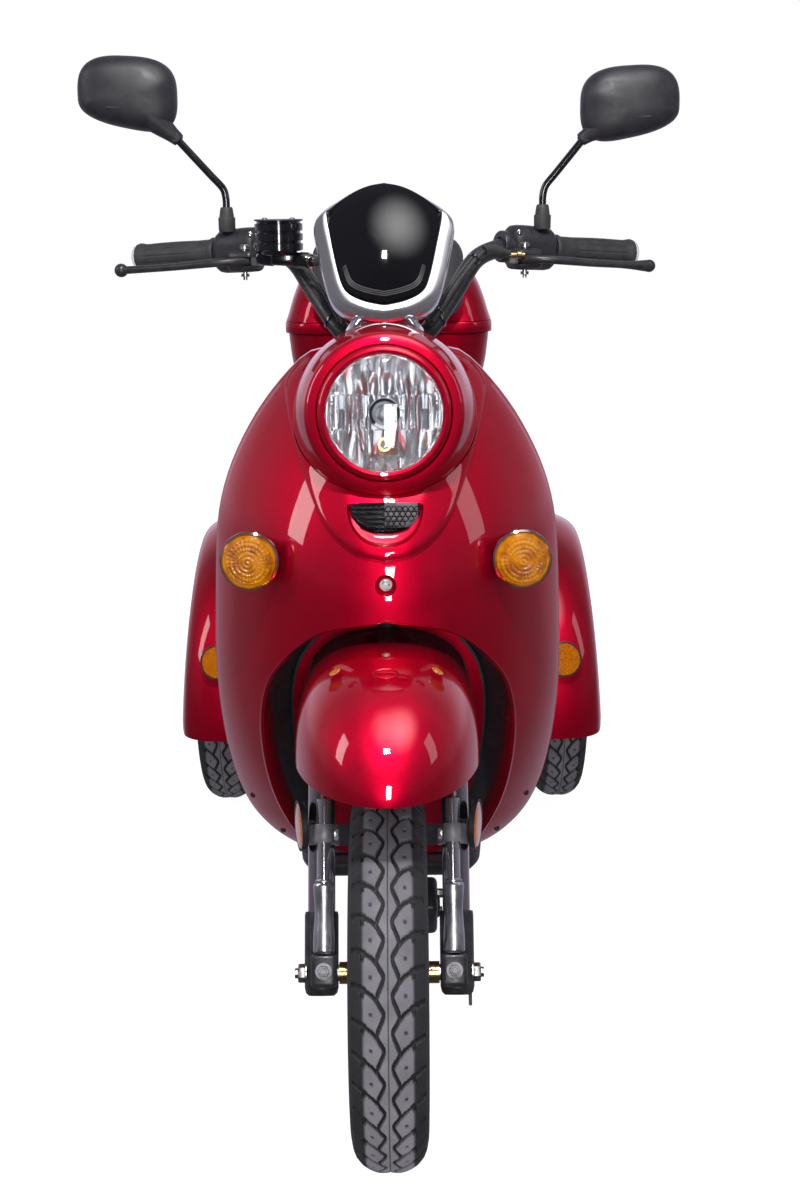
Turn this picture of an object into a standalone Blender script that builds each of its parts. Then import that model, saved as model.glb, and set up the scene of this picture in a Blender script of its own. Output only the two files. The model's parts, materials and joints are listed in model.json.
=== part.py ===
"""Mobility scooter: one front wheel, two rear wheels, painted body shells and a top box.

Frame: metres, +Z up, the front faces -Y, the rider's right hand is at -X. The origin is on the ground, under
the middle of the length. Each moving body has an empty on its joint, and its parts are children of that empty.
"""

import math

import bmesh
import bpy
import numpy as np
from mathutils import Matrix, Vector

# ---------------------------------------------------------------- driving dimensions
TYRE_RADIUS = 0.208
TYRE_HALF_WIDTH = 0.040
RIM_RADIUS = 0.1275
WHEELBASE = 1.15
REAR_TRACK = 0.57
FRONT_AXLE_Y = -0.615
RAKE = math.radians(25)
AXLE_LEAD = 0.035 * math.cos(RAKE)
LEG_X = 0.074
SHELL = 0.003
GAP = 0.0005
HEADLIGHT_TILT = math.radians(9)
HEADLIGHT_BEHIND = 0.090
HEADLIGHT_Z = 0.808
BODY_CENTRE_Z = 0.60
BODY_CROWN = 0.19
APRON_CENTRE_Z = 0.42
NOSE_CENTRE_Z = 0.77

# Half outlines seen from the front, as (x, z), top to bottom.
BODY_OUTLINE = [(0, 0.866), (0.060, 0.862), (0.100, 0.848), (0.157, 0.778), (0.194, 0.688), (0.203, 0.568),
                (0.203, 0.451), (0.187, 0.326), (0.147, 0.252), (0.072, 0.207), (0, 0.196)]
ARCH_OUTLINE = [(0, 0.587), (0.070, 0.571), (0.118, 0.527), (0.139, 0.481), (0.143, 0.414), (0.132, 0.326),
                (0.106, 0.241)]
NOSE_OUTLINE = [(0, 0.861), (0.050, 0.859), (0.085, 0.850), (0.111, 0.830), (0.108, 0.795), (0.086, 0.733),
                (0.064, 0.690), (0.034, 0.664), (0, 0.655)]
# How far the body's edge lies behind the front axle, as (z, distance).
EDGE_DEPTH = [(0.196, 0.335), (0.30, 0.300), (0.45, 0.245), (0.65, 0.245), (0.80, 0.265), (0.866, 0.275)]
# How far the wheel arch reaches back, as (z, distance).
ARCH_DEPTH = [(0.20, 0.300), (0.30, 0.285), (0.45, 0.264), (0.60, 0.262)]


# ---------------------------------------------------------------- frames of reference
def spot(x, behind, z):
    """A point given by its distance behind the front axle."""
    return Vector((x, FRONT_AXLE_Y + behind, z))


STEER_UP = Vector((0, math.sin(RAKE), math.cos(RAKE)))
STEER_AHEAD = Vector((0, -math.cos(RAKE), math.sin(RAKE)))
FRONT_AXLE = spot(0, 0, TYRE_RADIUS)
HEADLIGHT_FORWARD = Vector((0, -math.cos(HEADLIGHT_TILT), math.sin(HEADLIGHT_TILT)))
HEADLIGHT_FACE = spot(0, HEADLIGHT_BEHIND, HEADLIGHT_Z)
X_AXIS = Vector((1, 0, 0))
Z_AXIS = Vector((0, 0, 1))


def on_fork(x, along, ahead=0.0):
    """A point in the fork's own frame: up along the legs and ahead of them, from the front axle."""
    return FRONT_AXLE + X_AXIS * x + STEER_UP * along + STEER_AHEAD * ahead


def on_steering_axis(along):
    return on_fork(0, along, -AXLE_LEAD)


# ---------------------------------------------------------------- curves
def smooth_curve(points, count):
    """A Catmull-Rom curve through the points, read at count places."""
    knots = np.array([tuple(p) for p in points], dtype=float)
    padded = np.vstack([2 * knots[0] - knots[1], knots, 2 * knots[-1] - knots[-2]])
    steps = np.linspace(0, len(knots) - 1, count)
    curve = []
    for step in steps:
        i = min(int(step), len(knots) - 2)
        t = step - i
        a, b, c, d = padded[i:i + 4]
        curve.append(0.5 * (2 * b + (c - a) * t + (2 * a - 5 * b + 4 * c - d) * t * t
                            + (3 * b - a - 3 * c + d) * t ** 3))
    return np.array(curve)


def read(table, value):
    """Reads a smooth table of (key, value) pairs with rising keys."""
    curve = smooth_curve(table, 60)
    return float(np.interp(value, curve[:, 0], curve[:, 1]))


class Outline:
    """A half outline as a radius for each angle from straight up, about a centre on the middle plane."""

    def __init__(self, points, centre_z):
        curve = smooth_curve(points, 240)
        curve[:, 0] = np.abs(curve[:, 0])
        self.centre_z = centre_z
        self.angles = np.arctan2(curve[:, 0], curve[:, 1] - centre_z)
        self.radii = np.hypot(curve[:, 0], curve[:, 1] - centre_z)
        self.last_angle = float(self.angles[-1])

    def radius(self, angle):
        return float(np.interp(abs(angle), self.angles, self.radii))


BODY = Outline(BODY_OUTLINE, BODY_CENTRE_Z)
BODY_FROM_ARCH = Outline(BODY_OUTLINE, APRON_CENTRE_Z)
ARCH = Outline(ARCH_OUTLINE, APRON_CENTRE_Z)
NOSE = Outline(NOSE_OUTLINE, NOSE_CENTRE_Z)


def body_depth(x, z):
    """How far the apron's front surface lies behind the front axle."""
    angle = math.atan2(x, z - BODY_CENTRE_Z)
    share = min(1.0, math.hypot(x, z - BODY_CENTRE_Z) / BODY.radius(angle))
    return read(EDGE_DEPTH, z) - BODY_CROWN * (1 - share * share) ** 0.85


# ---------------------------------------------------------------- closed bodies as (points, faces)
def grid_faces(columns, rows, wrap, start=0):
    """Quads of a grid that is stored column by column."""
    faces = []
    for i in range(columns if wrap else columns - 1):
        for j in range(rows - 1):
            a = start + i * rows + j
            b = start + (i + 1) % columns * rows + j
            faces.append((a, b, b + 1, a + 1))
    return faces


def shell(front, thickness=SHELL, wrap=False, pole=False):
    """A closed shell: the front surface, a copy moved inwards, and the strips that join their edges.

    front[i][j] runs around with i and along with j. With wrap the last column meets the first. With pole the
    last point of every column is the same point.
    """
    front = np.array(front, dtype=float)
    columns, rows = front.shape[:2]
    if wrap:
        around = np.roll(front, -1, axis=0) - np.roll(front, 1, axis=0)
    else:
        around = np.gradient(front, axis=0)
    along = np.gradient(front, axis=1)
    normals = np.cross(around, along)
    if pole:
        normals[:, -1] = normals[:, -2].sum(axis=0)
    lengths = np.linalg.norm(normals, axis=2, keepdims=True)
    back = front - normals / np.maximum(lengths, 1e-12) * thickness
    points = np.vstack([front.reshape(-1, 3), back.reshape(-1, 3)])
    half = columns * rows
    faces = grid_faces(columns, rows, wrap)
    faces += [tuple(reversed(f)) for f in grid_faces(columns, rows, wrap, half)]
    for i in range(columns if wrap else columns - 1):
        a = i * rows
        b = (i + 1) % columns * rows
        faces.append((a, a + half, b + half, b))
        if not pole:
            faces.append((a + rows - 1, b + rows - 1, b + half + rows - 1, a + half + rows - 1))
    if not wrap:
        for j in range(rows - 1):
            faces.append((j, j + 1, j + 1 + half, j + half))
            k = (columns - 1) * rows + j
            faces.append((k, k + half, k + half + 1, k + 1))
    return points, faces


def cross_frame(direction):
    """Two unit vectors at right angles to a direction."""
    helper = Z_AXIS if abs(direction.z) < 0.9 else X_AXIS
    side = direction.cross(helper).normalized()
    return side, direction.cross(side).normalized()


def tube(path, radius, sides=10):
    """A round bar along a path; radius is one number or one for each point."""
    path = [Vector(p) for p in path]
    radii = radius if isinstance(radius, (list, tuple, np.ndarray)) else [radius] * len(path)
    side, _ = cross_frame((path[1] - path[0]).normalized())
    points = []
    for i, centre in enumerate(path):
        ahead = (path[min(i + 1, len(path) - 1)] - path[max(i - 1, 0)]).normalized()
        side = (side - ahead * side.dot(ahead)).normalized()
        other = ahead.cross(side)
        for k in range(sides):
            turn = 2 * math.pi * k / sides
            points.append(centre + (side * math.cos(turn) + other * math.sin(turn)) * radii[i])
    rows = len(path)
    faces = []
    for i in range(rows - 1):
        for k in range(sides):
            n = (k + 1) % sides
            faces.append((i * sides + k, i * sides + n, (i + 1) * sides + n, (i + 1) * sides + k))
    faces.append(tuple(range(sides)))
    faces.append(tuple(range((rows - 1) * sides, rows * sides)))
    return points, faces


def turned(profile, origin, axis, sides=24, ring=False):
    """A turned body: profile is (radius, along) pairs, closed on itself for a ring."""
    axis = Vector(axis).normalized()
    side, other = cross_frame(axis)
    points = []
    for k in range(sides):
        turn = 2 * math.pi * k / sides
        spoke = side * math.cos(turn) + other * math.sin(turn)
        for radius, along in profile:
            points.append(Vector(origin) + spoke * radius + axis * along)
    count = len(profile)
    faces = []
    for k in range(sides):
        n = (k + 1) % sides
        for j in range(count if ring else count - 1):
            m = (j + 1) % count
            if profile[j][0] or profile[m][0]:
                faces.append((k * count + j, n * count + j, n * count + m, k * count + m))
    return points, faces


def loft(rings):
    """A closed body through rings with equal numbers of points."""
    count = len(rings[0])
    points = [Vector(p) for ring_points in rings for p in ring_points]
    faces = []
    for i in range(len(rings) - 1):
        for k in range(count):
            n = (k + 1) % count
            faces.append((i * count + k, i * count + n, (i + 1) * count + n, (i + 1) * count + k))
    faces.append(tuple(range(count)))
    faces.append(tuple(range((len(rings) - 1) * count, len(rings) * count)))
    return points, faces


def rounded_rectangle(half_x, half_y, corner, corner_points=4):
    """Points of a rounded rectangle about the origin, anticlockwise."""
    points = []
    for sign_x, sign_y, start in ((1, 1, 0), (-1, 1, 90), (-1, -1, 180), (1, -1, 270)):
        for k in range(corner_points):
            turn = math.radians(start + 90 * k / (corner_points - 1))
            points.append((sign_x * (half_x - corner) + corner * math.cos(turn),
                           sign_y * (half_y - corner) + corner * math.sin(turn)))
    return points


def block(centre, size, turn=None, bevel=0.0, segments=1):
    """A box, with its edges rounded when bevel is given."""
    mesh = bmesh.new()
    bmesh.ops.create_cube(mesh, size=1.0, matrix=Matrix.Diagonal((*size, 1.0)))
    if bevel:
        bmesh.ops.bevel(mesh, geom=mesh.edges[:], offset=bevel, segments=segments, affect="EDGES", profile=0.5)
    place = Matrix.Translation(centre) @ (turn.to_4x4() if turn else Matrix.Identity(4))
    mesh.transform(place)
    mesh.verts.index_update()
    points = [v.co.copy() for v in mesh.verts]
    faces = [tuple(v.index for v in f.verts) for f in mesh.faces]
    mesh.free()
    return points, faces


def prism(outline, origin, along, up, depth):
    """An outline of (x, height) pairs, extruded to both sides of the origin."""
    rings = []
    for shift in (-depth / 2, depth / 2):
        rings.append([Vector(origin) + X_AXIS * x + up * h + along * shift for x, h in outline])
    return loft(rings)


# ---------------------------------------------------------------- objects
FINISHES = {
    "red_paint": ((0.33, 0.004, 0.016), 0.22, 0.75),
    "black_plastic": ((0.018, 0.018, 0.020), 0.5, 0.0),
    "gloss_black": ((0.008, 0.008, 0.010), 0.1, 0.0),
    "chrome": ((0.80, 0.80, 0.82), 0.08, 1.0),
    "aluminium": ((0.55, 0.56, 0.58), 0.35, 1.0),
    "black_metal": ((0.03, 0.03, 0.033), 0.4, 0.6),
    "rubber": ((0.035, 0.035, 0.037), 0.8, 0.0),
    "amber": ((0.85, 0.33, 0.02), 0.15, 0.0),
    "clear": ((0.85, 0.88, 0.90), 0.05, 0.0),
    "tail_red": ((0.55, 0.01, 0.01), 0.15, 0.0),
    "seat_vinyl": ((0.045, 0.045, 0.048), 0.6, 0.0),
}

for old in list(bpy.data.objects):
    bpy.data.objects.remove(old, do_unlink=True)

materials = {}
bodies = {}


def finish(name):
    if name not in materials:
        colour, roughness, metallic = FINISHES[name]
        material = bpy.data.materials.new(name)
        material.use_nodes = True
        shader = material.node_tree.nodes["Principled BSDF"]
        shader.inputs["Base Color"].default_value = (*colour, 1.0)
        shader.inputs["Roughness"].default_value = roughness
        shader.inputs["Metallic"].default_value = metallic
        materials[name] = material
    return materials[name]


def body(name, pivot, parent=None):
    """An empty on a moving body's joint."""
    empty = bpy.data.objects.new(name + "_pivot", None)
    bpy.context.collection.objects.link(empty)
    empty.parent = bodies[parent] if parent else None
    empty.location = Vector(pivot) - (bodies[parent].matrix_world.translation if parent else Vector())
    bpy.context.view_layer.update()
    bodies[name] = empty


def mesh_object(name, solid, place):
    points, faces = solid
    mesh = bpy.data.meshes.new(name)
    origin = place.matrix_world.translation
    mesh.from_pydata([Vector(p) - origin for p in points], [], faces)
    work = bmesh.new()
    work.from_mesh(mesh)
    bmesh.ops.remove_doubles(work, verts=work.verts[:], dist=1e-6)
    bmesh.ops.recalc_face_normals(work, faces=work.faces[:])
    work.to_mesh(mesh)
    work.free()
    made = bpy.data.objects.new(name, mesh)
    bpy.context.collection.objects.link(made)
    made.parent = place
    return made


def part(name, solid, finish_name, body_name):
    made = mesh_object(name, solid, bodies[body_name])
    made.data.materials.append(finish(finish_name))
    made.data.shade_smooth()
    made.data.set_sharp_from_angle(angle=math.radians(35))
    return made


def combine(target, solid, operation):
    """Adds or cuts a second solid with a Boolean; the second solid stays as a hidden wire guide."""
    guide = mesh_object(f"{target.name}_guide_{len(target.modifiers)}", solid, target.parent)
    guide.hide_render = True
    guide.display_type = "WIRE"
    modifier = target.modifiers.new(operation.lower(), "BOOLEAN")
    modifier.operation = operation
    modifier.object = guide
    modifier.solver = "EXACT"


def cut(target, solid):
    combine(target, solid, "DIFFERENCE")


def join(target, solid):
    combine(target, solid, "UNION")


SIDES = {"right": -1, "left": 1}
STEERING_CENTRE = on_steering_axis(0.337)
REAR_AXLE = spot(0, WHEELBASE, TYRE_RADIUS)
SEAT_HINGE = spot(0, 0.725, 0.606)
LID_HINGE = spot(0, 1.075, 0.816)
LATCH_POINT = spot(0, 1.408, 0.78)
KEY_POINT = spot(0.07, 0.372, 0.76)
GRIP_START = {side: spot(sign * 0.209, 0.475, 0.965) for side, sign in SIDES.items()}
GRIP_END = {side: spot(sign * 0.322, 0.528, 0.957) for side, sign in SIDES.items()}
LEVER_PIVOT = {side: spot(sign * 0.172, 0.418, 0.955) for side, sign in SIDES.items()}
MIRROR_BASE = {side: spot(sign * 0.196, 0.452, 1.0) for side, sign in SIDES.items()}
MIRROR_BALL = {"right": spot(-0.256, 0.452, 1.104), "left": spot(0.247, 0.452, 1.100)}
MIRROR_CENTRE = {"right": spot(-0.313, 0.452, 1.149), "left": spot(0.302, 0.452, 1.141)}
HORN_POINT = spot(0.168, 0.486, 0.950)
INDICATOR_POINT = spot(0.190, 0.497, 0.968)

body("chassis", (0, 0, 0))
body("steering", STEERING_CENTRE, "chassis")
body("front_suspension", FRONT_AXLE, "steering")
body("front_wheel", FRONT_AXLE, "front_suspension")
for side, sign in SIDES.items():
    body(f"rear_wheel_{side}", REAR_AXLE + X_AXIS * sign * REAR_TRACK / 2, "chassis")
    body(f"brake_lever_{side}", LEVER_PIVOT[side], "steering")
    body(f"mirror_arm_{side}", MIRROR_BASE[side], "steering")
    body(f"mirror_head_{side}", MIRROR_BALL[side], f"mirror_arm_{side}")
body("throttle", GRIP_START["right"], "steering")
body("horn", HORN_POINT, "steering")
body("indicator_slider", INDICATOR_POINT, "steering")
body("seat_hinge", SEAT_HINGE, "chassis")
body("lid_hinge", LID_HINGE, "chassis")
body("latch", LATCH_POINT, "chassis")
body("key", KEY_POINT, "chassis")


# ---------------------------------------------------------------- frame
def make_main_frame():
    down_path = smooth_curve([spot(0, 0.270, 0.668), spot(0, 0.312, 0.600), spot(0, 0.330, 0.400),
                              spot(0, 0.333, 0.220), spot(0, 0.352, 0.158), spot(0, 0.410, 0.139),
                              spot(0, 0.540, 0.139)], 18)
    frame = part("main_frame", tube([on_steering_axis(0.45), on_steering_axis(0.60)], 0.025, 24),
                 "black_metal", "chassis")
    join(frame, tube(down_path, 0.016, 12))
    join(frame, block(spot(0, 0.81, 0.139), (0.22, 0.58, 0.038), bevel=0.004))
    cut(frame, tube([on_steering_axis(0.43), on_steering_axis(0.62)], 0.0156, 24))


# ---------------------------------------------------------------- painted front body
def apron_grid(columns, front_rows):
    """The horseshoe between the wheel arch and the outline, with its edges rolled back."""
    limit = ARCH.last_angle
    grid = []
    for i in range(columns):
        angle = -limit + 2 * limit * i / (columns - 1)
        inner = ARCH.radius(angle)
        outer = max(BODY_FROM_ARCH.radius(angle), inner + 0.014)
        sine, cosine = math.sin(angle), math.cos(angle)
        depth_in = body_depth(inner * sine, APRON_CENTRE_Z + inner * cosine)
        reach = min(0.030, max(0.006, 0.6 * (read(ARCH_DEPTH, APRON_CENTRE_Z + inner * cosine) - depth_in)))
        depth_out = body_depth(outer * sine, APRON_CENTRE_Z + outer * cosine)
        stations = [(inner, depth_in + reach), (inner, depth_in + 0.004)]
        for j in range(front_rows):
            share = j / (front_rows - 1)
            radius = inner + 0.004 + (outer - inner - 0.008) * (1 - math.cos(share * math.pi / 2) ** 1.3)
            stations.append((radius, body_depth(radius * sine, APRON_CENTRE_Z + radius * cosine)))
        stations += [(outer, depth_out + 0.005), (outer, depth_out + 0.022)]
        grid.append([spot(radius * sine, depth, APRON_CENTRE_Z + radius * cosine) for radius, depth in stations])
    return grid


def nacelle_profile(extra=0.0):
    """The headlight barrel as (radius, distance ahead of the face)."""
    outer = [(0.0750, 0.0), (0.0860, -0.008), (0.0935, -0.030), (0.1000, -0.065), (0.1020, -0.095),
             (0.0940, -0.125), (0.0660, -0.150), (0.0, -0.162)]
    return [(radius + extra if radius else 0.0, along - (extra if not radius else 0.0)) for radius, along in outer]


def nacelle_cutter(extra):
    profile = nacelle_profile(extra)
    return turned([(0.0, 0.05), (profile[1][0], 0.05)] + profile[1:], HEADLIGHT_FACE, HEADLIGHT_FORWARD, 40)


def grille_outline(shrink=0.0):
    """A half moon, flat side up, as (x, z)."""
    half_width, top, drop = 0.038 - shrink, 0.711 - shrink, 0.032 - 2 * shrink
    arc = [(-half_width * math.cos(math.pi * k / 14), top - drop * math.sin(math.pi * k / 14) ** 0.8)
           for k in range(15)]
    return [(half_width * 0.5, top + 0.002), (-half_width * 0.5, top + 0.002)] + arc


def polar_dish(outline, centre_z, depth, columns, rows, edge_power=1.0):
    """A grid that runs from the outline in to its centre; depth(x, z, share) gives the distance behind."""
    grid = []
    for i in range(columns):
        angle = 2 * math.pi * i / columns
        signed = (angle + math.pi) % (2 * math.pi) - math.pi
        radius = outline(signed)
        column = []
        for j in range(rows):
            share = 1 - (j / (rows - 1)) ** edge_power
            x, z = radius * share * math.sin(signed), centre_z + radius * share * math.cos(signed)
            column.append(spot(x, depth(x, z, share, signed), z))
        grid.append(column)
    return grid


def indicator_spot(side):
    x = 0.146 * SIDES[side]
    return spot(x, body_depth(x, 0.644), 0.644), Vector((0.06 * SIDES[side], -1, 0.05)).normalized()


def make_front_body():
    apron = part("apron", shell(apron_grid(33, 7)), "red_paint", "chassis")
    cut(apron, nacelle_cutter(0.0006))
    cut(apron, prism(grille_outline(), spot(0, 0.1, 0), Vector((0, 1, 0)), Z_AXIS, 0.2))

    def nose_depth(x, z, share, signed):
        return body_depth(x, z) - SHELL - GAP

    nose = part("nose_panel", shell(polar_dish(NOSE.radius, NOSE_CENTRE_Z, nose_depth, 28, 5), wrap=True, pole=True),
                "red_paint", "chassis")
    cut(nose, nacelle_cutter(0.0006))
    cut(nose, prism(grille_outline(), spot(0, 0.1, 0), Vector((0, 1, 0)), Z_AXIS, 0.2))

    inner = [(max(radius - SHELL, 0.0), along + (SHELL if radius < 0.01 else 0.0))
             for radius, along in nacelle_profile()]
    part("headlight_nacelle", turned(nacelle_profile() + inner[::-1], HEADLIGHT_FACE, HEADLIGHT_FORWARD, 24,
                                     ring=True), "red_paint", "chassis")
    part("headlight_bezel", turned([(0.0620, 0.004), (0.0660, 0.007), (0.0710, 0.003), (0.0715, -0.010),
                                    (0.0620, -0.010)], HEADLIGHT_FACE, HEADLIGHT_FORWARD, 24, ring=True),
         "red_paint", "chassis")
    part("headlight_lens", turned([(0.0, 0.0055), (0.035, 0.0040), (0.0560, -0.0005), (0.0612, -0.0040),
                                   (0.0612, -0.0085), (0.0, -0.0085)], HEADLIGHT_FACE, HEADLIGHT_FORWARD, 20),
         "clear", "chassis")
    bowl = [(0.0, -0.058), (0.018, -0.055), (0.040, -0.042), (0.056, -0.026), (0.066, -0.011)]
    bowl_back = [(max(radius + 0.0015, 0.0) if radius else 0.0, along - 0.002) for radius, along in bowl]
    part("headlight_reflector", turned(bowl + bowl_back[::-1], HEADLIGHT_FACE, HEADLIGHT_FORWARD, 20),
         "chrome", "chassis")
    part("nose_grille", prism(grille_outline(0.0006), spot(0, body_depth(0, 0.695) + 0.006, 0),
                              Vector((0, 1, 0)), Z_AXIS, 0.002), "gloss_black", "chassis")
    for side in SIDES:
        base, ahead = indicator_spot(side)
        cut(apron, turned([(0, 0.06), (0.0258, 0.06), (0.0258, -0.06), (0, -0.06)], base, ahead, 20))
        part(f"front_indicator_{side}",
             turned([(0, 0.062), (0.014, 0.0605), (0.026, 0.055), (0.0310, 0.050), (0.0315, 0.042), (0.0300, 0.039),
                     (0.0250, 0.036), (0.0250, -0.022), (0, -0.022)], base, ahead, 18), "amber", "chassis")


def make_inner_body():
    def arch_radius(signed):
        if abs(signed) <= ARCH.last_angle:
            return ARCH.radius(signed)
        bottom = APRON_CENTRE_Z - 0.235
        return min(ARCH.radius(ARCH.last_angle), bottom / math.cos(math.pi - abs(signed)))

    def liner_depth(x, z, share, signed):
        back = read(ARCH_DEPTH, max(z, 0.21))
        rim_x = arch_radius(signed) * math.sin(signed)
        rim_z = APRON_CENTRE_Z + arch_radius(signed) * math.cos(signed)
        front = body_depth(rim_x, rim_z)
        reach = min(0.030, max(0.006, 0.6 * (read(ARCH_DEPTH, rim_z) - front)))
        start = min(front + reach + 0.0025, back + 0.02)
        if abs(signed) > ARCH.last_angle:
            start = back + 0.012
        wall = 0.17
        return back if share < 1 - wall else back + (start - back) * (share - 1 + wall) / wall

    liner = part("wheel_liner", shell(polar_dish(arch_radius, APRON_CENTRE_Z, liner_depth, 28, 7), 0.0025,
                                      wrap=True, pole=True), "black_plastic", "chassis")
    cut(liner, tube([on_steering_axis(0.36), on_steering_axis(0.46)], 0.030, 20))

    top = 0.838

    def leg_radius(signed):
        radius = BODY.radius(signed) - 0.002
        return min(radius, (top - BODY_CENTRE_Z) / math.cos(signed)) if abs(signed) < 1.3 else radius

    def leg_depth(x, z, share, signed):
        edge = read(EDGE_DEPTH, z) + 0.0235
        middle = 0.372
        return edge + (middle - edge) * (1 - share ** 3)

    grid = polar_dish(leg_radius, BODY_CENTRE_Z, leg_depth, 28, 5)
    part("leg_shield", shell([[p + Vector((0, 0.003, 0)) for p in column] for column in grid], wrap=True, pole=True),
         "red_paint", "chassis")
    cut(bpy.data.objects["leg_shield"], tube([on_steering_axis(0.60), on_steering_axis(0.80)], 0.024, 20))
    key_axis = Vector((0, 1, 0))
    cut(bpy.data.objects["leg_shield"], tube([KEY_POINT - key_axis * 0.05, KEY_POINT + key_axis * 0.05], 0.0125, 16))
    part("ignition_key", turned([(0, 0.030), (0.0035, 0.030), (0.0035, 0.012), (0.0115, 0.010), (0.0115, -0.010),
                                 (0, -0.010)], KEY_POINT, key_axis, 16), "chrome", "key")
    join(bpy.data.objects["ignition_key"], block(KEY_POINT + key_axis * 0.034, (0.020, 0.014, 0.003)))


# ---------------------------------------------------------------- middle and rear body
def upright_rings(levels, centre_behind, corner, corner_points=4):
    """Rounded rectangles, one for each (z, half width, half length) level."""
    return [[spot(x, centre_behind + y, z) for x, y in rounded_rectangle(half_x, half_y, corner, corner_points)]
            for z, half_x, half_y in levels]


def box_shell(levels, centre_behind, corner, thickness, corner_points=4):
    """A box open at its first level and closed past its last."""
    rings = upright_rings(levels, centre_behind, corner, corner_points)
    last_z = levels[-1][0]
    step = 1 if levels[-1][0] > levels[0][0] else -1
    columns = []
    for k in range(len(rings[0])):
        column = [ring[k] for ring in rings]
        edge = column[-1]
        centre = spot(0, centre_behind, last_z)
        column.append(edge.lerp(centre, 0.08) + Vector((0, 0, step * 0.004)))
        column.append(centre + Vector((0, 0, step * 0.004)))
        columns.append(column)
    if step < 0:
        columns.reverse()
    return shell(columns, thickness, wrap=True, pole=True)


def floor_rings(levels, centre_behind, corner):
    """Rounded rectangles that narrow towards the front of the floor."""
    rings = upright_rings(levels, centre_behind, corner, 6)
    for ring in rings:
        for place in ring:
            share = min(1.0, max(0.0, (place.y - FRONT_AXLE_Y - 0.40) / 0.22))
            place.x *= 0.70 + 0.30 * share * share * (3 - 2 * share)
    return rings


def fender_grid(side, columns, rows):
    """A rear fender: a rounded channel that runs over the wheel."""
    sign = SIDES[side]
    grid = []
    for i in range(columns):
        swing = math.radians(-4 + 192 * i / (columns - 1))
        lean = 0.322 + 0.014 * (1 - max(math.sin(swing), 0.0))
        channel = [(0.208, 0.236), (0.206, 0.262), (0.226, 0.281), (0.262, 0.287), (lean - 0.032, 0.281),
                   (lean - 0.008, 0.264), (lean, 0.236), (lean + 0.002, 0.218)]
        section = smooth_curve(channel, rows)
        grid.append([spot(sign * x, WHEELBASE - r * math.cos(swing), TYRE_RADIUS + r * math.sin(swing))
                     for x, r in section])
    return grid if sign > 0 else grid[::-1]


def make_rear_body():
    part("floor_pan", loft(floor_rings([(0.1595, 0.155, 0.3375), (0.168, 0.168, 0.3475), (0.181, 0.168, 0.3475)],
                                       0.7225, 0.05)), "black_plastic", "chassis")
    part("floor_mat", loft(floor_rings([(0.1815, 0.145, 0.140), (0.1865, 0.145, 0.140)], 0.545, 0.03)),
         "rubber", "chassis")
    part("seat_base", box_shell([(0.1815, 0.162, 0.185), (0.30, 0.158, 0.182), (0.45, 0.150, 0.176),
                                 (0.597, 0.142, 0.168)], 0.900, 0.05, 0.004), "red_paint", "chassis")
    part("battery_pack", block(spot(0, 0.90, 0.275), (0.22, 0.28, 0.18), bevel=0.006), "gloss_black", "chassis")
    part("motor_controller", block(spot(0, 0.90, 0.405), (0.16, 0.20, 0.05), bevel=0.004), "aluminium", "chassis")
    part("rear_body", box_shell([(0.275, 0.196, 0.150), (0.36, 0.196, 0.150), (0.44, 0.190, 0.146),
                                 (0.492, 0.176, 0.136)], 1.255, 0.05, 0.004), "red_paint", "chassis")
    part("tail_light", block(spot(0, 1.412, 0.40), (0.20, 0.012, 0.05), bevel=0.004), "tail_red", "chassis")
    axle = part("rear_axle", turned([(0, -0.319), (0.0095, -0.319), (0.0095, -0.236), (0.022, -0.234), (0.022, -0.09),
                                     (0.058, -0.07), (0.058, 0.07), (0.022, 0.09), (0.022, 0.234), (0.0095, 0.236),
                                     (0.0095, 0.319), (0, 0.319)], REAR_AXLE, X_AXIS, 24), "black_metal", "chassis")
    axle.data.shade_smooth()
    for side in SIDES:
        part(f"rear_fender_{side}", shell(fender_grid(side, 15, 8)), "red_paint", "chassis")
    rack = part("rear_rack", block(spot(0, 1.24, 0.576), (0.10, 0.14, 0.155)), "black_metal", "chassis")
    join(rack, block(spot(0, 1.24, 0.650), (0.24, 0.26, 0.012), bevel=0.003))
    part("box_base", box_shell([(0.811, 0.166, 0.158), (0.80, 0.166, 0.158), (0.74, 0.156, 0.150),
                                (0.665, 0.138, 0.134)], 1.24, 0.06, 0.003, 5), "red_paint", "chassis")
    part("box_lid", box_shell([(0.8125, 0.171, 0.162), (0.832, 0.171, 0.162), (0.845, 0.164, 0.156),
                               (0.895, 0.148, 0.140), (0.932, 0.115, 0.106), (0.948, 0.070, 0.062)],
                              1.24, 0.056, 0.003, 5), "red_paint", "lid_hinge")
    part("backrest_pad", block(spot(0, 1.050, 0.905), (0.24, 0.040, 0.13), bevel=0.014, segments=2),
         "seat_vinyl", "lid_hinge")
    part("box_latch", block(LATCH_POINT, (0.05, 0.010, 0.022), bevel=0.002), "chrome", "latch")
    part("seat", block(spot(0, 0.885, 0.655), (0.33, 0.33, 0.10), bevel=0.03, segments=3), "seat_vinyl", "seat_hinge")


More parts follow.
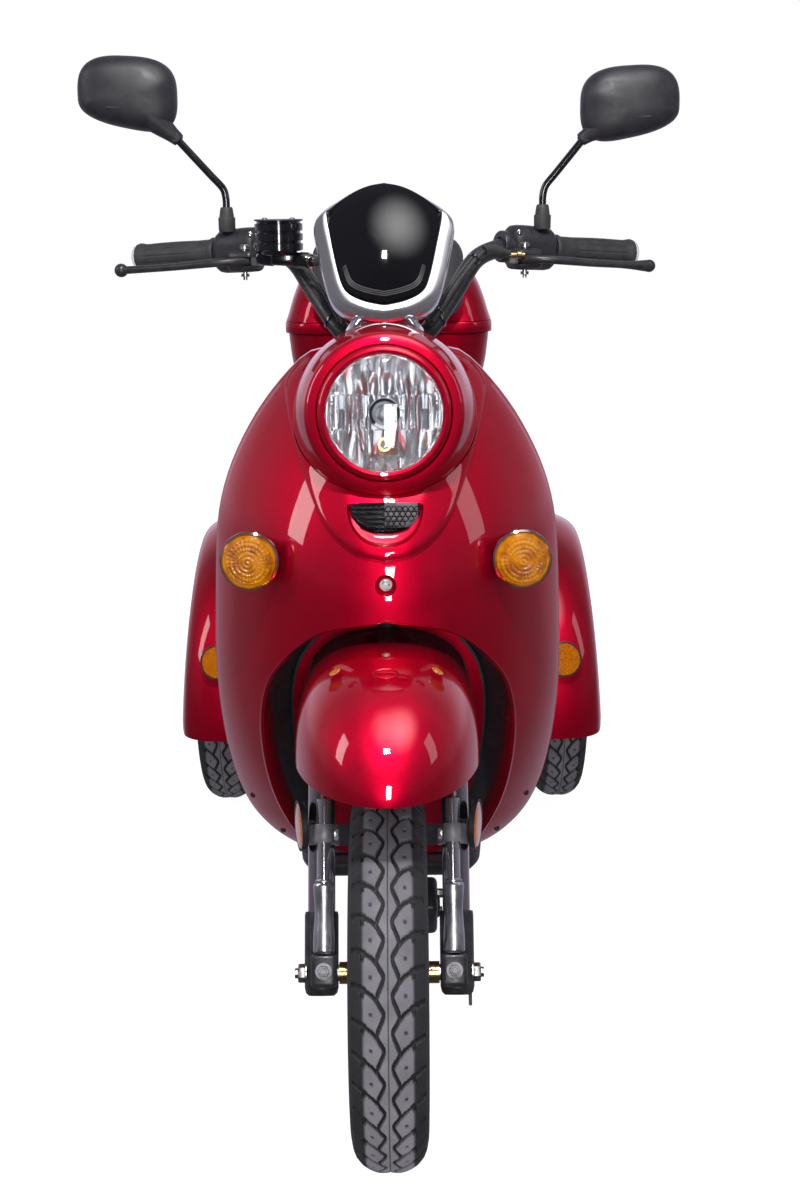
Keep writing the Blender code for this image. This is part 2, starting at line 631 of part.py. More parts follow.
# ---------------------------------------------------------------- steering and front suspension
def front_fender_grid(columns, rows):
    """A round hood over the tyre, open below and behind."""
    nose, tail, rim_z = -0.145, 0.172, 0.452
    grid = []
    for j in range(rows):
        share = (j / (rows - 1)) ** 1.5
        behind = nose + (tail - nose) * share
        swell = min(1.0, share / 0.55)
        size = math.sqrt(max(1 - (1 - swell) ** 2, 0.0)) if share < 0.55 else 1.0
        half_width = 0.0990 * max(size, 0.02)
        height = (0.112 - 0.012 * max(0.0, share - 0.6) / 0.4) * max(size, 0.02) ** 1.15
        power = 2 / (2.15 + 0.15 * share)
        section = []
        for i in range(columns):
            turn = math.pi * i / (columns - 1)
            x = -math.copysign(abs(math.cos(turn)) ** power, math.cos(turn)) * half_width
            section.append(spot(x, behind, rim_z + height * abs(math.sin(turn)) ** power))
        grid.append(section)
    return [[grid[j][i] for j in range(rows)] for i in range(columns)]


def make_fork():
    crown = part("fork_crown", block(on_fork(0, 0.2975, -0.012), (0.172, 0.064, 0.026),
                                     Matrix.Rotation(-RAKE, 3, "X"), 0.004), "black_metal", "steering")
    join(crown, tube([on_steering_axis(0.300), on_steering_axis(0.727)], 0.0145, 20))
    for sign in SIDES.values():
        join(crown, tube([on_fork(sign * LEG_X, 0.064), on_fork(sign * LEG_X, 0.306)], 0.0150, 16))
    part("front_fender", shell(front_fender_grid(15, 10)), "red_paint", "steering")
    for side, sign in SIDES.items():
        lower = part(f"fork_lower_{side}", tube([on_fork(sign * LEG_X, -0.030), on_fork(sign * LEG_X, 0.085)],
                                                0.0185, 20), "black_metal", "front_suspension")
        join(lower, block(on_fork(sign * 0.070, 0.012, 0.024), (0.026, 0.030, 0.040), Matrix.Rotation(-RAKE, 3, "X"),
                          0.003))
        join(lower, tube([on_fork(sign * 0.070, 0.020, 0.0335), on_fork(sign * 0.070, 0.105, 0.0335)], 0.0128, 16))
        cut(lower, tube([on_fork(sign * LEG_X, 0.010), on_fork(sign * LEG_X, 0.095)], 0.0160, 20))
        cut(lower, tube([on_fork(sign * 0.030, 0), on_fork(sign * 0.12, 0)], 0.0062, 12))
    part("front_axle", turned([(0, -0.103), (0.0055, -0.103), (0.0055, -0.0550), (0.0090, -0.0550),
                               (0.0090, 0.0550), (0.0055, 0.0550), (0.0055, 0.103), (0, 0.103)],
                              FRONT_AXLE, X_AXIS, 16), "aluminium", "front_suspension")
    swing = Matrix.Rotation(math.radians(35), 3, "X")
    centre = FRONT_AXLE + swing @ Vector((0.0388, 0.084, 0))
    caliper = part("brake_caliper", block(centre, (0.030, 0.044, 0.056), swing, 0.004), "black_metal",
                   "front_suspension")
    cut(caliper, block(centre + swing @ Vector((-0.0038, -0.012, 0)), (0.0056, 0.044, 0.070), swing))


def tyre_profile():
    """Half of a tyre's section as (radius, across), from tread to bead and back along the inside."""
    outside = [(TYRE_RADIUS, 0.0), (0.2050, 0.019), (0.1910, 0.036), (0.1700, TYRE_HALF_WIDTH), (0.1370, 0.0298),
               (0.1285, 0.0290)]
    inside = [(0.1285, 0.0225), (0.1700, 0.0325), (0.1985, 0.0)]
    half = outside + inside
    mirrored = [(radius, -across) for radius, across in half[-2:0:-1]]
    return half + mirrored


def rim_profile(with_disc):
    barrel = [(0.136, -0.033), (0.136, -0.0306), (RIM_RADIUS, -0.0306), (RIM_RADIUS, 0.0306), (0.136, 0.0306),
              (0.136, 0.033), (0.121, 0.033), (0.117, 0.006), (0.110, 0.003), (0.034, 0.003), (0.030, 0.012)]
    if with_disc:
        barrel += [(0.030, 0.0330), (0.094, 0.0330), (0.094, 0.0368)]
    end = 0.0368 if with_disc else 0.035
    barrel += [(0.022, end), (0.0105, end), (0.0105, -end), (0.022, -end), (0.030, -0.012), (0.034, -0.003),
               (0.110, -0.003), (0.117, -0.006), (0.121, -0.033)]
    return barrel


def make_wheels():
    places = {"front": ("front_wheel", FRONT_AXLE)}
    for side, sign in SIDES.items():
        places[f"rear_{side}"] = (f"rear_wheel_{side}", REAR_AXLE + X_AXIS * sign * REAR_TRACK / 2)
    for name, (body_name, centre) in places.items():
        label, _, side = name.partition("_")
        ending = f"_{side}" if side else ""
        part(f"{label}_tyre{ending}", turned(tyre_profile(), centre, X_AXIS, 26, ring=True), "rubber", body_name)
        part(f"{label}_rim{ending}", turned(rim_profile(label == "front"), centre, X_AXIS, 16, ring=True),
             "aluminium", body_name)


# ---------------------------------------------------------------- handlebar and controls
def handlebar_path():
    straight = (GRIP_END["left"] - GRIP_START["left"]).normalized()
    half = [spot(0.0, 0.336, 0.866), spot(0.028, 0.337, 0.867), spot(0.051, 0.343, 0.874), spot(0.084, 0.381, 0.917),
            spot(0.112, 0.418, 0.955), GRIP_START["left"] - straight * 0.070]
    curve = [Vector(p) for p in smooth_curve(half, 12)] + [GRIP_END["left"]]
    mirrored = [Vector((-p.x, p.y, p.z)) for p in reversed(curve[1:])]
    return mirrored + curve


def make_handlebar():
    part("handlebar", tube(handlebar_path(), 0.0110, 8), "black_metal", "steering")
    for side, sign in SIDES.items():
        start, end = GRIP_START[side], GRIP_END[side]
        along = (end - start).normalized()
        centre = start - along * 0.031
        turn = Matrix.Rotation(math.atan2(along.y * sign, along.x * sign), 3, "Z")
        housing = part(f"switch_housing_{side}", block(centre, (0.056, 0.042, 0.052), turn, 0.009, 2),
                       "black_plastic", "steering")
        join(housing, block(LEVER_PIVOT[side] + Vector((0, 0.012, 0)), (0.034, 0.036, 0.026), turn, 0.004))
        join(housing, tube([MIRROR_BASE[side] - Z_AXIS * 0.03, MIRROR_BASE[side] - Z_AXIS * 0.006], 0.0085, 12))
        cut(housing, tube([start - along * 0.075, start + along * 0.01], 0.0115, 16))
        cut(housing, block(LEVER_PIVOT[side] + Vector((sign * 0.01, -0.010, 0)), (0.070, 0.036, 0.0115)))
        grip = part("throttle_grip" if side == "right" else "grip_left",
                    turned([(0.0160, 0.002), (0.0172, 0.008), (0.0165, 0.030), (0.0165, 0.085), (0.0175, 0.104),
                            (0.0165, 0.118), (0.0117, 0.118), (0.0117, 0.002)], start, along, 14, ring=True),
                    "rubber", "throttle" if side == "right" else "steering")
        grip.data.shade_smooth()
        lever = [LEVER_PIVOT[side] + Vector((sign * x, y, z)) for x, y, z in
                 ((-0.004, -0.004, 0), (0.018, -0.012, 0), (0.045, -0.010, -0.002), (0.085, 0.006, -0.006),
                  (0.125, 0.022, -0.009), (0.158, 0.034, -0.011))]
        radii = [0.0045, 0.0050, 0.0058, 0.0056, 0.0052, 0.0052]
        path = smooth_curve([(*p, r) for p, r in zip(lever, radii)], 10)
        blade = part(f"brake_lever_{side}", tube([row[:3] for row in path], [row[3] for row in path], 10),
                     "black_metal", f"brake_lever_{side}")
        tip = lever[-1]
        join(blade, turned([(0, 0.0085), (0.006, 0.006), (0.0085, 0), (0.006, -0.006), (0, -0.0085)], tip, X_AXIS, 12))
    part("horn_button", turned([(0, 0.006), (0.0055, 0.006), (0.0065, 0.004), (0.0065, 0), (0, 0)], HORN_POINT,
                               Vector((-0.42, 0.9, 0)), 16), "gloss_black", "horn")
    part("indicator_switch", block(INDICATOR_POINT, (0.012, 0.008, 0.008), Matrix.Rotation(0.44, 3, "Z"), 0.001),
         "gloss_black", "indicator_slider")
    reservoir = spot(-0.1225, 0.372, 0.987)
    cylinder = part("master_cylinder", turned([(0, -0.024), (0.0215, -0.024), (0.0225, 0.012), (0.0245, 0.013),
                                               (0.0245, 0.019), (0, 0.019)], reservoir, Z_AXIS, 24),
                    "black_plastic", "steering")
    join(cylinder, tube([spot(-0.152, 0.390, 0.961), spot(-0.084, 0.366, 0.957)], 0.0080, 14))
    hose = smooth_curve([spot(-0.0820, 0.3650, 0.9565), spot(-0.070, 0.358, 0.950), spot(-0.060, 0.350, 0.925),
                         spot(-0.052, 0.318, 0.898), spot(-0.048, 0.302, 0.886)], 14)
    part("brake_hose", tube(hose, 0.0034, 10), "rubber", "steering")
    cables = smooth_curve([spot(0.150, 0.400, 0.962), spot(0.120, 0.385, 0.966), spot(0.088, 0.354, 0.934),
                           spot(0.060, 0.316, 0.896), spot(0.052, 0.305, 0.887)], 16)
    part("cable_bundle", tube(cables, 0.0062, 10), "rubber", "steering")


def make_instrument():
    """The pod leans back: its face looks ahead and up."""
    low, high = spot(0, 0.272, 0.900), spot(0, 0.358, 1.046)
    up = (high - low).normalized()
    outward = Vector((0, -up.z, up.y))
    shield = [(0, -0.004), (0.027, 0.000), (0.051, 0.012), (0.065, 0.050), (0.080, 0.115), (0.074, 0.128),
              (0.041, 0.156), (0.0, 0.168)]
    outline = shield + [(-x, h) for x, h in shield[-2:0:-1]]

    def layer(scale, depth, centre_height=0.085):
        return [low + X_AXIS * x * scale + up * (centre_height + (h - centre_height) * scale) + outward * depth
                for x, h in outline]

    part("instrument_shell", loft([layer(0.70, -0.040), layer(0.92, -0.022), layer(1.0, 0.0)]), "chrome", "steering")
    part("instrument_screen", loft([layer(0.90, 0.0005), layer(0.86, 0.006), layer(0.60, 0.012)]),
         "gloss_black", "steering")


def mirror_outline(turn):
    """A mirror seen from ahead: level on top, and deepest on the side of its stem, as (x outward, z)."""
    x = math.copysign(abs(math.cos(turn)) ** 0.67, math.cos(turn)) * 0.060
    reach = 0.0455 if math.sin(turn) > 0 else 0.0365 - 0.28 * x
    return x, math.copysign(abs(math.sin(turn)) ** 0.67, math.sin(turn)) * reach


def make_mirrors():
    for side, sign in SIDES.items():
        base, ball, centre = MIRROR_BASE[side], MIRROR_BALL[side], MIRROR_CENTRE[side]
        stem = smooth_curve([base - Z_AXIS * 0.005, base + Z_AXIS * 0.020, base + Vector((sign * 0.002, 0, 0.045)),
                             base.lerp(ball, 0.75) + Vector((0, 0, 0.006)), ball], 12)
        radii = np.interp(range(12), [0, 2, 4, 11], [0.0085, 0.0075, 0.0045, 0.0045])
        part(f"mirror_arm_{side}", tube(stem, list(radii), 10), "gloss_black", f"mirror_arm_{side}")
        rings = []
        for depth, scale in ((-0.022, 0.62), (-0.018, 0.80), (-0.006, 0.97), (0.006, 1.0), (0.010, 0.97)):
            ring_points = []
            for k in range(28):
                turn = 2 * math.pi * k / 28
                x, z = mirror_outline(turn)
                ring_points.append(centre + Vector((sign * x * scale, depth, z * scale)))
            rings.append(ring_points)
        head = part(f"mirror_head_{side}", loft(rings), "black_plastic", f"mirror_head_{side}")
        cut(head, turned([(0, 0.009), (0.009, 0.009), (0.009, -0.009), (0, -0.009)], ball, Vector((0, 1, 0)), 12))


make_main_frame()
make_front_body()
make_inner_body()
make_rear_body()
make_fork()
make_wheels()
make_handlebar()
make_instrument()
make_mirrors()
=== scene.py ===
"""Mobility scooter: the looks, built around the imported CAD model.

Frame: metres, +Z up, the front faces -Y, the rider's right hand is at -X. Joint places and the large sizes
come from the record and the CAD nodes' boxes. Curves and small parts are drawn to follow those nodes.
"""

import json
import math

import bmesh
import bpy
import numpy as np
from mathutils import Matrix, Vector


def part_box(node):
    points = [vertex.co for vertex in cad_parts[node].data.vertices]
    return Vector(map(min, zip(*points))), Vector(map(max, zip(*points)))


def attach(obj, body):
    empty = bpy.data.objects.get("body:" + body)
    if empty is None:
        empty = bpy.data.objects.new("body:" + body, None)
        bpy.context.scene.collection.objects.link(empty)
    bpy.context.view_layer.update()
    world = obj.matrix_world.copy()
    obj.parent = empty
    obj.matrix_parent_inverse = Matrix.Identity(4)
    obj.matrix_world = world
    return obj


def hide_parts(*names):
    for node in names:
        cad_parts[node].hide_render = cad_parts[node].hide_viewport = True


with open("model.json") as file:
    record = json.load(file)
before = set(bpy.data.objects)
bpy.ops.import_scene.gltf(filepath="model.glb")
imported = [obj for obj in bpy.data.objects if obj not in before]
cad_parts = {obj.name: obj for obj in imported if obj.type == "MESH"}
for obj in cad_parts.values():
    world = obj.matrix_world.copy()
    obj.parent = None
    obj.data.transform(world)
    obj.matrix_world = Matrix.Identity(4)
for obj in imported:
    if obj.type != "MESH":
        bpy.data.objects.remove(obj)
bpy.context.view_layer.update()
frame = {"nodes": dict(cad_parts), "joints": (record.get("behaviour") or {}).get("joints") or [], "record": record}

# ---------------------------------------------------------------- places read from the frame
X_AXIS = Vector((1, 0, 0))
Y_AXIS = Vector((0, 1, 0))
Z_AXIS = Vector((0, 0, 1))
JOINTS = {joint["name"]: joint for joint in frame["joints"]}
SIDES = {"right": -1, "left": 1}


def joint_point(name):
    return Vector(JOINTS[name]["pos_m"])


def joint_axis(name):
    return Vector(JOINTS[name]["axis"]).normalized()


def box_centre(node):
    low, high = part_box(node)
    return (low + high) / 2


FRONT_AXLE = joint_point("front_wheel_spin")
FRONT_AXLE_Y = FRONT_AXLE.y
STEER_UP = joint_axis("steering_turn")
STEER_AHEAD = Vector((0, -STEER_UP.z, STEER_UP.y))
RAKE = math.atan2(STEER_UP.y, STEER_UP.z)
TYRE_RADIUS = (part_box("front_tyre")[1].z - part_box("front_tyre")[0].z) / 2
TYRE_HALF_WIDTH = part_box("front_tyre")[1].x

# ---------------------------------------------------------------- dimensions shared with the CAD design
SHELL = 0.003
GAP = 0.0005
LEG_X = 0.074
RIM_RADIUS = 0.1275
AXLE_LEAD = 0.035 * math.cos(RAKE)
HEADLIGHT_TILT = math.radians(9)
BODY_CENTRE_Z = 0.60
BODY_CROWN = 0.19
APRON_CENTRE_Z = 0.42
NOSE_CENTRE_Z = 0.77
BODY_OUTLINE = [(0, 0.866), (0.060, 0.862), (0.100, 0.848), (0.157, 0.778), (0.194, 0.688), (0.203, 0.568),
                (0.203, 0.451), (0.187, 0.326), (0.147, 0.252), (0.072, 0.207), (0, 0.196)]
ARCH_OUTLINE = [(0, 0.587), (0.070, 0.571), (0.118, 0.527), (0.139, 0.481), (0.143, 0.414), (0.132, 0.326),
                (0.106, 0.241)]
NOSE_OUTLINE = [(0, 0.861), (0.050, 0.859), (0.085, 0.850), (0.111, 0.830), (0.108, 0.795), (0.086, 0.733),
                (0.064, 0.690), (0.034, 0.664), (0, 0.655)]
EDGE_DEPTH = [(0.196, 0.335), (0.30, 0.300), (0.45, 0.245), (0.65, 0.245), (0.80, 0.265), (0.866, 0.275)]
ARCH_DEPTH = [(0.20, 0.300), (0.30, 0.285), (0.45, 0.264), (0.60, 0.262)]


def spot(x, behind, z):
    """A point given by its distance behind the front axle."""
    return Vector((x, FRONT_AXLE_Y + behind, z))


def on_fork(x, along, ahead=0.0):
    """A point in the fork's own frame: up along the legs and ahead of them, from the front axle."""
    return FRONT_AXLE + X_AXIS * x + STEER_UP * along + STEER_AHEAD * ahead


def on_steering_axis(along):
    return on_fork(0, along, -AXLE_LEAD)


HEADLIGHT_FORWARD = Vector((0, -math.cos(HEADLIGHT_TILT), math.sin(HEADLIGHT_TILT)))
HEADLIGHT_FACE = spot(0, 0.090, 0.808)


# ---------------------------------------------------------------- curves and outlines
def smooth_curve(points, count):
    """A Catmull-Rom curve through the points, read at count places."""
    knots = np.array([tuple(p) for p in points], dtype=float)
    padded = np.vstack([2 * knots[0] - knots[1], knots, 2 * knots[-1] - knots[-2]])
    curve = []
    for step in np.linspace(0, len(knots) - 1, count):
        i = min(int(step), len(knots) - 2)
        t = step - i
        a, b, c, d = padded[i:i + 4]
        curve.append(0.5 * (2 * b + (c - a) * t + (2 * a - 5 * b + 4 * c - d) * t * t
                            + (3 * b - a - 3 * c + d) * t ** 3))
    return np.array(curve)


READ_CURVES = {}


def read(table, value):
    """Reads a smooth table of (key, value) pairs with rising keys."""
    key = id(table)
    if key not in READ_CURVES:
        READ_CURVES[key] = smooth_curve(table, 200)
    curve = READ_CURVES[key]
    return float(np.interp(value, curve[:, 0], curve[:, 1]))


class Outline:
    """A half outline as a radius for each angle from straight up, about a centre on the middle plane."""

    def __init__(self, points, centre_z):
        curve = smooth_curve(points, 400)
        curve[:, 0] = np.abs(curve[:, 0])
        self.angles = np.arctan2(curve[:, 0], curve[:, 1] - centre_z)
        self.radii = np.hypot(curve[:, 0], curve[:, 1] - centre_z)
        self.last_angle = float(self.angles[-1])

    def radius(self, angle):
        return float(np.interp(abs(angle), self.angles, self.radii))


BODY = Outline(BODY_OUTLINE, BODY_CENTRE_Z)
BODY_FROM_ARCH = Outline(BODY_OUTLINE, APRON_CENTRE_Z)
ARCH = Outline(ARCH_OUTLINE, APRON_CENTRE_Z)
NOSE = Outline(NOSE_OUTLINE, NOSE_CENTRE_Z)


def body_depth(x, z):
    """How far the apron's front surface lies behind the front axle."""
    angle = math.atan2(x, z - BODY_CENTRE_Z)
    share = min(1.0, math.hypot(x, z - BODY_CENTRE_Z) / BODY.radius(angle))
    return read(EDGE_DEPTH, z) - BODY_CROWN * (1 - share * share) ** 0.85


# ---------------------------------------------------------------- solids as (points, faces)
def grid_faces(columns, rows, wrap, start=0):
    faces = []
    for i in range(columns if wrap else columns - 1):
        for j in range(rows - 1):
            a = start + i * rows + j
            b = start + (i + 1) % columns * rows + j
            faces.append((a, b, b + 1, a + 1))
    return faces


def shell(front, thickness=SHELL, wrap=False, pole=False):
    """A closed shell: the front surface, a copy moved inwards, and the strips that join their edges."""
    front = np.array(front, dtype=float)
    columns, rows = front.shape[:2]
    if wrap:
        around = np.roll(front, -1, axis=0) - np.roll(front, 1, axis=0)
    else:
        around = np.gradient(front, axis=0)
    normals = np.cross(around, np.gradient(front, axis=1))
    if pole:
        normals[:, -1] = normals[:, -2].sum(axis=0)
    lengths = np.linalg.norm(normals, axis=2, keepdims=True)
    back = front - normals / np.maximum(lengths, 1e-12) * thickness
    points = np.vstack([front.reshape(-1, 3), back.reshape(-1, 3)])
    half = columns * rows
    faces = grid_faces(columns, rows, wrap)
    faces += [tuple(reversed(f)) for f in grid_faces(columns, rows, wrap, half)]
    for i in range(columns if wrap else columns - 1):
        a = i * rows
        b = (i + 1) % columns * rows
        faces.append((a, a + half, b + half, b))
        if not pole:
            faces.append((a + rows - 1, b + rows - 1, b + half + rows - 1, a + half + rows - 1))
    if not wrap:
        for j in range(rows - 1):
            faces.append((j, j + 1, j + 1 + half, j + half))
            k = (columns - 1) * rows + j
            faces.append((k, k + half, k + half + 1, k + 1))
    return points, faces


def cross_frame(direction):
    helper = Z_AXIS if abs(direction.z) < 0.9 else X_AXIS
    side = direction.cross(helper).normalized()
    return side, direction.cross(side).normalized()


def tube(path, radius, sides=20):
    """A round bar along a path; radius is one number or one for each point."""
    path = [Vector(p) for p in path]
    radii = radius if isinstance(radius, (list, tuple, np.ndarray)) else [radius] * len(path)
    side, _ = cross_frame((path[1] - path[0]).normalized())
    points = []
    for i, centre in enumerate(path):
        ahead = (path[min(i + 1, len(path) - 1)] - path[max(i - 1, 0)]).normalized()
        side = (side - ahead * side.dot(ahead)).normalized()
        other = ahead.cross(side)
        for k in range(sides):
            turn = 2 * math.pi * k / sides
            points.append(centre + (side * math.cos(turn) + other * math.sin(turn)) * radii[i])
    rows = len(path)
    faces = []
    for i in range(rows - 1):
        for k in range(sides):
            n = (k + 1) % sides
            faces.append((i * sides + k, i * sides + n, (i + 1) * sides + n, (i + 1) * sides + k))
    faces.append(tuple(range(sides)))
    faces.append(tuple(range((rows - 1) * sides, rows * sides)))
    return points, faces


def closed_tube(path, radius, sides):
    """A round bar along a closed loop."""
    count = len(path)
    points = []
    for i in range(count):
        ahead = (path[(i + 1) % count] - path[i - 1]).normalized()
        side = ahead.cross(Z_AXIS)
        side = side.normalized() if side.length > 1e-6 else X_AXIS
        other = side.cross(ahead).normalized()
        for k in range(sides):
            turn = 2 * math.pi * k / sides
            points.append(path[i] + (side * math.cos(turn) + other * math.sin(turn)) * radius)
    faces = []
    for i in range(count):
        n = (i + 1) % count
        for k in range(sides):
            m = (k + 1) % sides
            faces.append((i * sides + k, i * sides + m, n * sides + m, n * sides + k))
    return points, faces


def turned(profile, origin, axis, sides=48, ring=False):
    """A turned body: profile is (radius, along) pairs, closed on itself for a ring."""
    axis = Vector(axis).normalized()
    side, other = cross_frame(axis)
    points = []
    for k in range(sides):
        turn = 2 * math.pi * k / sides
        spoke = side * math.cos(turn) + other * math.sin(turn)
        for radius, along in profile:
            points.append(Vector(origin) + spoke * radius + axis * along)
    count = len(profile)
    faces = []
    for k in range(sides):
        n = (k + 1) % sides
        for j in range(count if ring else count - 1):
            m = (j + 1) % count
            if profile[j][0] or profile[m][0]:
                faces.append((k * count + j, n * count + j, n * count + m, k * count + m))
    return points, faces


def loft(rings):
    """A closed body through rings with equal numbers of points."""
    count = len(rings[0])
    points = [Vector(p) for ring_points in rings for p in ring_points]
    faces = []
    for i in range(len(rings) - 1):
        for k in range(count):
            n = (k + 1) % count
            faces.append((i * count + k, i * count + n, (i + 1) * count + n, (i + 1) * count + k))
    faces.append(tuple(range(count)))
    faces.append(tuple(range((len(rings) - 1) * count, len(rings) * count)))
    return points, faces


def rounded_rectangle(half_x, half_y, corner, corner_points=8):
    points = []
    for sign_x, sign_y, start in ((1, 1, 0), (-1, 1, 90), (-1, -1, 180), (1, -1, 270)):
        for k in range(corner_points):
            turn = math.radians(start + 90 * k / (corner_points - 1))
            points.append((sign_x * (half_x - corner) + corner * math.cos(turn),
                           sign_y * (half_y - corner) + corner * math.sin(turn)))
    return points


def block(centre, size, turn=None, bevel=0.0, segments=3):
    """A box with rounded edges."""
    mesh = bmesh.new()
    bmesh.ops.create_cube(mesh, size=1.0, matrix=Matrix.Diagonal((*size, 1.0)))
    if bevel:
        bmesh.ops.bevel(mesh, geom=mesh.edges[:], offset=bevel, segments=segments, affect="EDGES",
                        profile=0.5)
    mesh.transform(Matrix.Translation(centre) @ (turn.to_4x4() if turn else Matrix.Identity(4)))
    mesh.verts.index_update()
    points = [v.co.copy() for v in mesh.verts]
    faces = [tuple(v.index for v in f.verts) for f in mesh.faces]
    mesh.free()
    return points, faces


def prism(outline, origin, along, up, depth):
    """An outline of (x, height) pairs, extruded to both sides of the origin."""
    rings = []
    for shift in (-depth / 2, depth / 2):
        rings.append([Vector(origin) + X_AXIS * x + up * h + along * shift for x, h in outline])
    return loft(rings)


def merged(*solids):
    """Several solids as one mesh of separate closed bodies."""
    points, faces = [], []
    for solid_points, solid_faces in solids:
        start = len(points)
        points.extend(Vector(p) for p in solid_points)
        faces.extend(tuple(i + start for i in face) for face in solid_faces)
    return points, faces


# ---------------------------------------------------------------- pieces
def mesh_object(name, solid):
    points, faces = solid
    mesh = bpy.data.meshes.new(name)
    mesh.from_pydata([tuple(p) for p in points], [], faces)
    work = bmesh.new()
    work.from_mesh(mesh)
    bmesh.ops.remove_doubles(work, verts=work.verts[:], dist=1e-6)
    bmesh.ops.recalc_face_normals(work, faces=work.faces[:])
    work.to_mesh(mesh)
    work.free()
    made = bpy.data.objects.new(name, mesh)
    bpy.context.scene.collection.objects.link(made)
    return made


def apply_modifiers(made):
    """Bakes the modifiers into the mesh, so that nothing is left on the piece."""
    graph = bpy.context.evaluated_depsgraph_get()
    mesh = bpy.data.meshes.new_from_object(made.evaluated_get(graph))
    made.modifiers.clear()
    made.data = mesh


def cut_with(made, *cutters):
    """Cuts solids out of a piece and keeps its edges crisp."""
    guides = []
    for solid in cutters:
        guide = mesh_object(made.name + "_cutter", solid)
        guides.append(guide)
        modifier = made.modifiers.new("cut", "BOOLEAN")
        modifier.operation = "DIFFERENCE"
        modifier.object = guide
        modifier.solver = "EXACT"
    bpy.context.view_layer.update()
    apply_modifiers(made)
    for guide in guides:
        bpy.data.objects.remove(guide, do_unlink=True)


def piece(name, solid, material, body, replaces=(), cutters=(), bevel=0.0, smooth=35, subdivide=0):
    """Makes one visible piece that rides on a CAD body."""
    made = mesh_object(name, solid)
    if cutters:
        cut_with(made, *cutters)
    if bevel:
        modifier = made.modifiers.new("bevel", "BEVEL")
        modifier.width = bevel
        modifier.segments = 2
        modifier.limit_method = "ANGLE"
        modifier.angle_limit = math.radians(40)
        apply_modifiers(made)
    if subdivide:
        modifier = made.modifiers.new("subdivide", "SUBSURF")
        modifier.levels = subdivide
        modifier.render_levels = subdivide
        apply_modifiers(made)
    made.data.materials.clear()
    made.data.materials.append(MATERIALS[material][0])
    made.data.shade_smooth()
    made.data.set_sharp_from_angle(angle=math.radians(smooth))
    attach(made, body)
    if replaces:
        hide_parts(*replaces)
    return made


# ---------------------------------------------------------------- materials
MATERIALS = {}


class Finish:
    """One procedural material, built a node at a time."""

    def __init__(self, name, slot, colour, roughness, metallic=0.0):
        self.material = bpy.data.materials.new(name)
        self.material.use_nodes = True
        self.nodes = self.material.node_tree.nodes
        self.links = self.material.node_tree.links
        self.shader = self.nodes["Principled BSDF"]
        self.set("Base Color", (*colour, 1.0))
        self.set("Roughness", roughness)
        self.set("Metallic", metallic)
        self.place = self.nodes.new("ShaderNodeTexCoord").outputs["Object"]
        MATERIALS[name] = (self.material, slot)

    def set(self, socket, value):
        self.shader.inputs[socket].default_value = value

    def noise(self, scale, detail=3.0, stretch=None):
        texture = self.nodes.new("ShaderNodeTexNoise")
        texture.inputs["Scale"].default_value = scale
        texture.inputs["Detail"].default_value = detail
        source = self.place
        if stretch:
            mapping = self.nodes.new("ShaderNodeMapping")
            mapping.inputs["Scale"].default_value = stretch
            self.links.new(source, mapping.inputs["Vector"])
            source = mapping.outputs["Vector"]
        self.links.new(source, texture.inputs["Vector"])
        return texture.outputs["Fac"]

    def cells(self, scale, feature="F1"):
        texture = self.nodes.new("ShaderNodeTexVoronoi")
        texture.feature = feature
        texture.inputs["Scale"].default_value = scale
        self.links.new(self.place, texture.inputs["Vector"])
        return texture

    def ramp(self, source, stops):
        ramp = self.nodes.new("ShaderNodeValToRGB")
        self.links.new(source, ramp.inputs["Fac"])
        elements = ramp.color_ramp.elements
        while len(elements) < len(stops):
            elements.new(0.5)
        for element, (position, colour) in zip(elements, stops):
            element.position = position
            element.color = (*colour, 1.0) if len(colour) == 3 else (colour[0],) * 3 + (1.0,)
        return ramp.outputs["Color"]

    def colour_from(self, source, stops):
        self.links.new(self.ramp(source, stops), self.shader.inputs["Base Color"])

    def roughness_from(self, source, low, high):
        self.links.new(self.ramp(source, [(0.3, (low,)), (0.7, (high,))]), self.shader.inputs["Roughness"])

    def bump(self, source, strength, distance):
        bump = self.nodes.new("ShaderNodeBump")
        bump.inputs["Strength"].default_value = strength
        bump.inputs["Distance"].default_value = distance
        self.links.new(source, bump.inputs["Height"])
        if self.shader.inputs["Normal"].is_linked:
            self.links.new(self.shader.inputs["Normal"].links[0].from_socket, bump.inputs["Normal"])
        self.links.new(bump.outputs["Normal"], self.shader.inputs["Normal"])


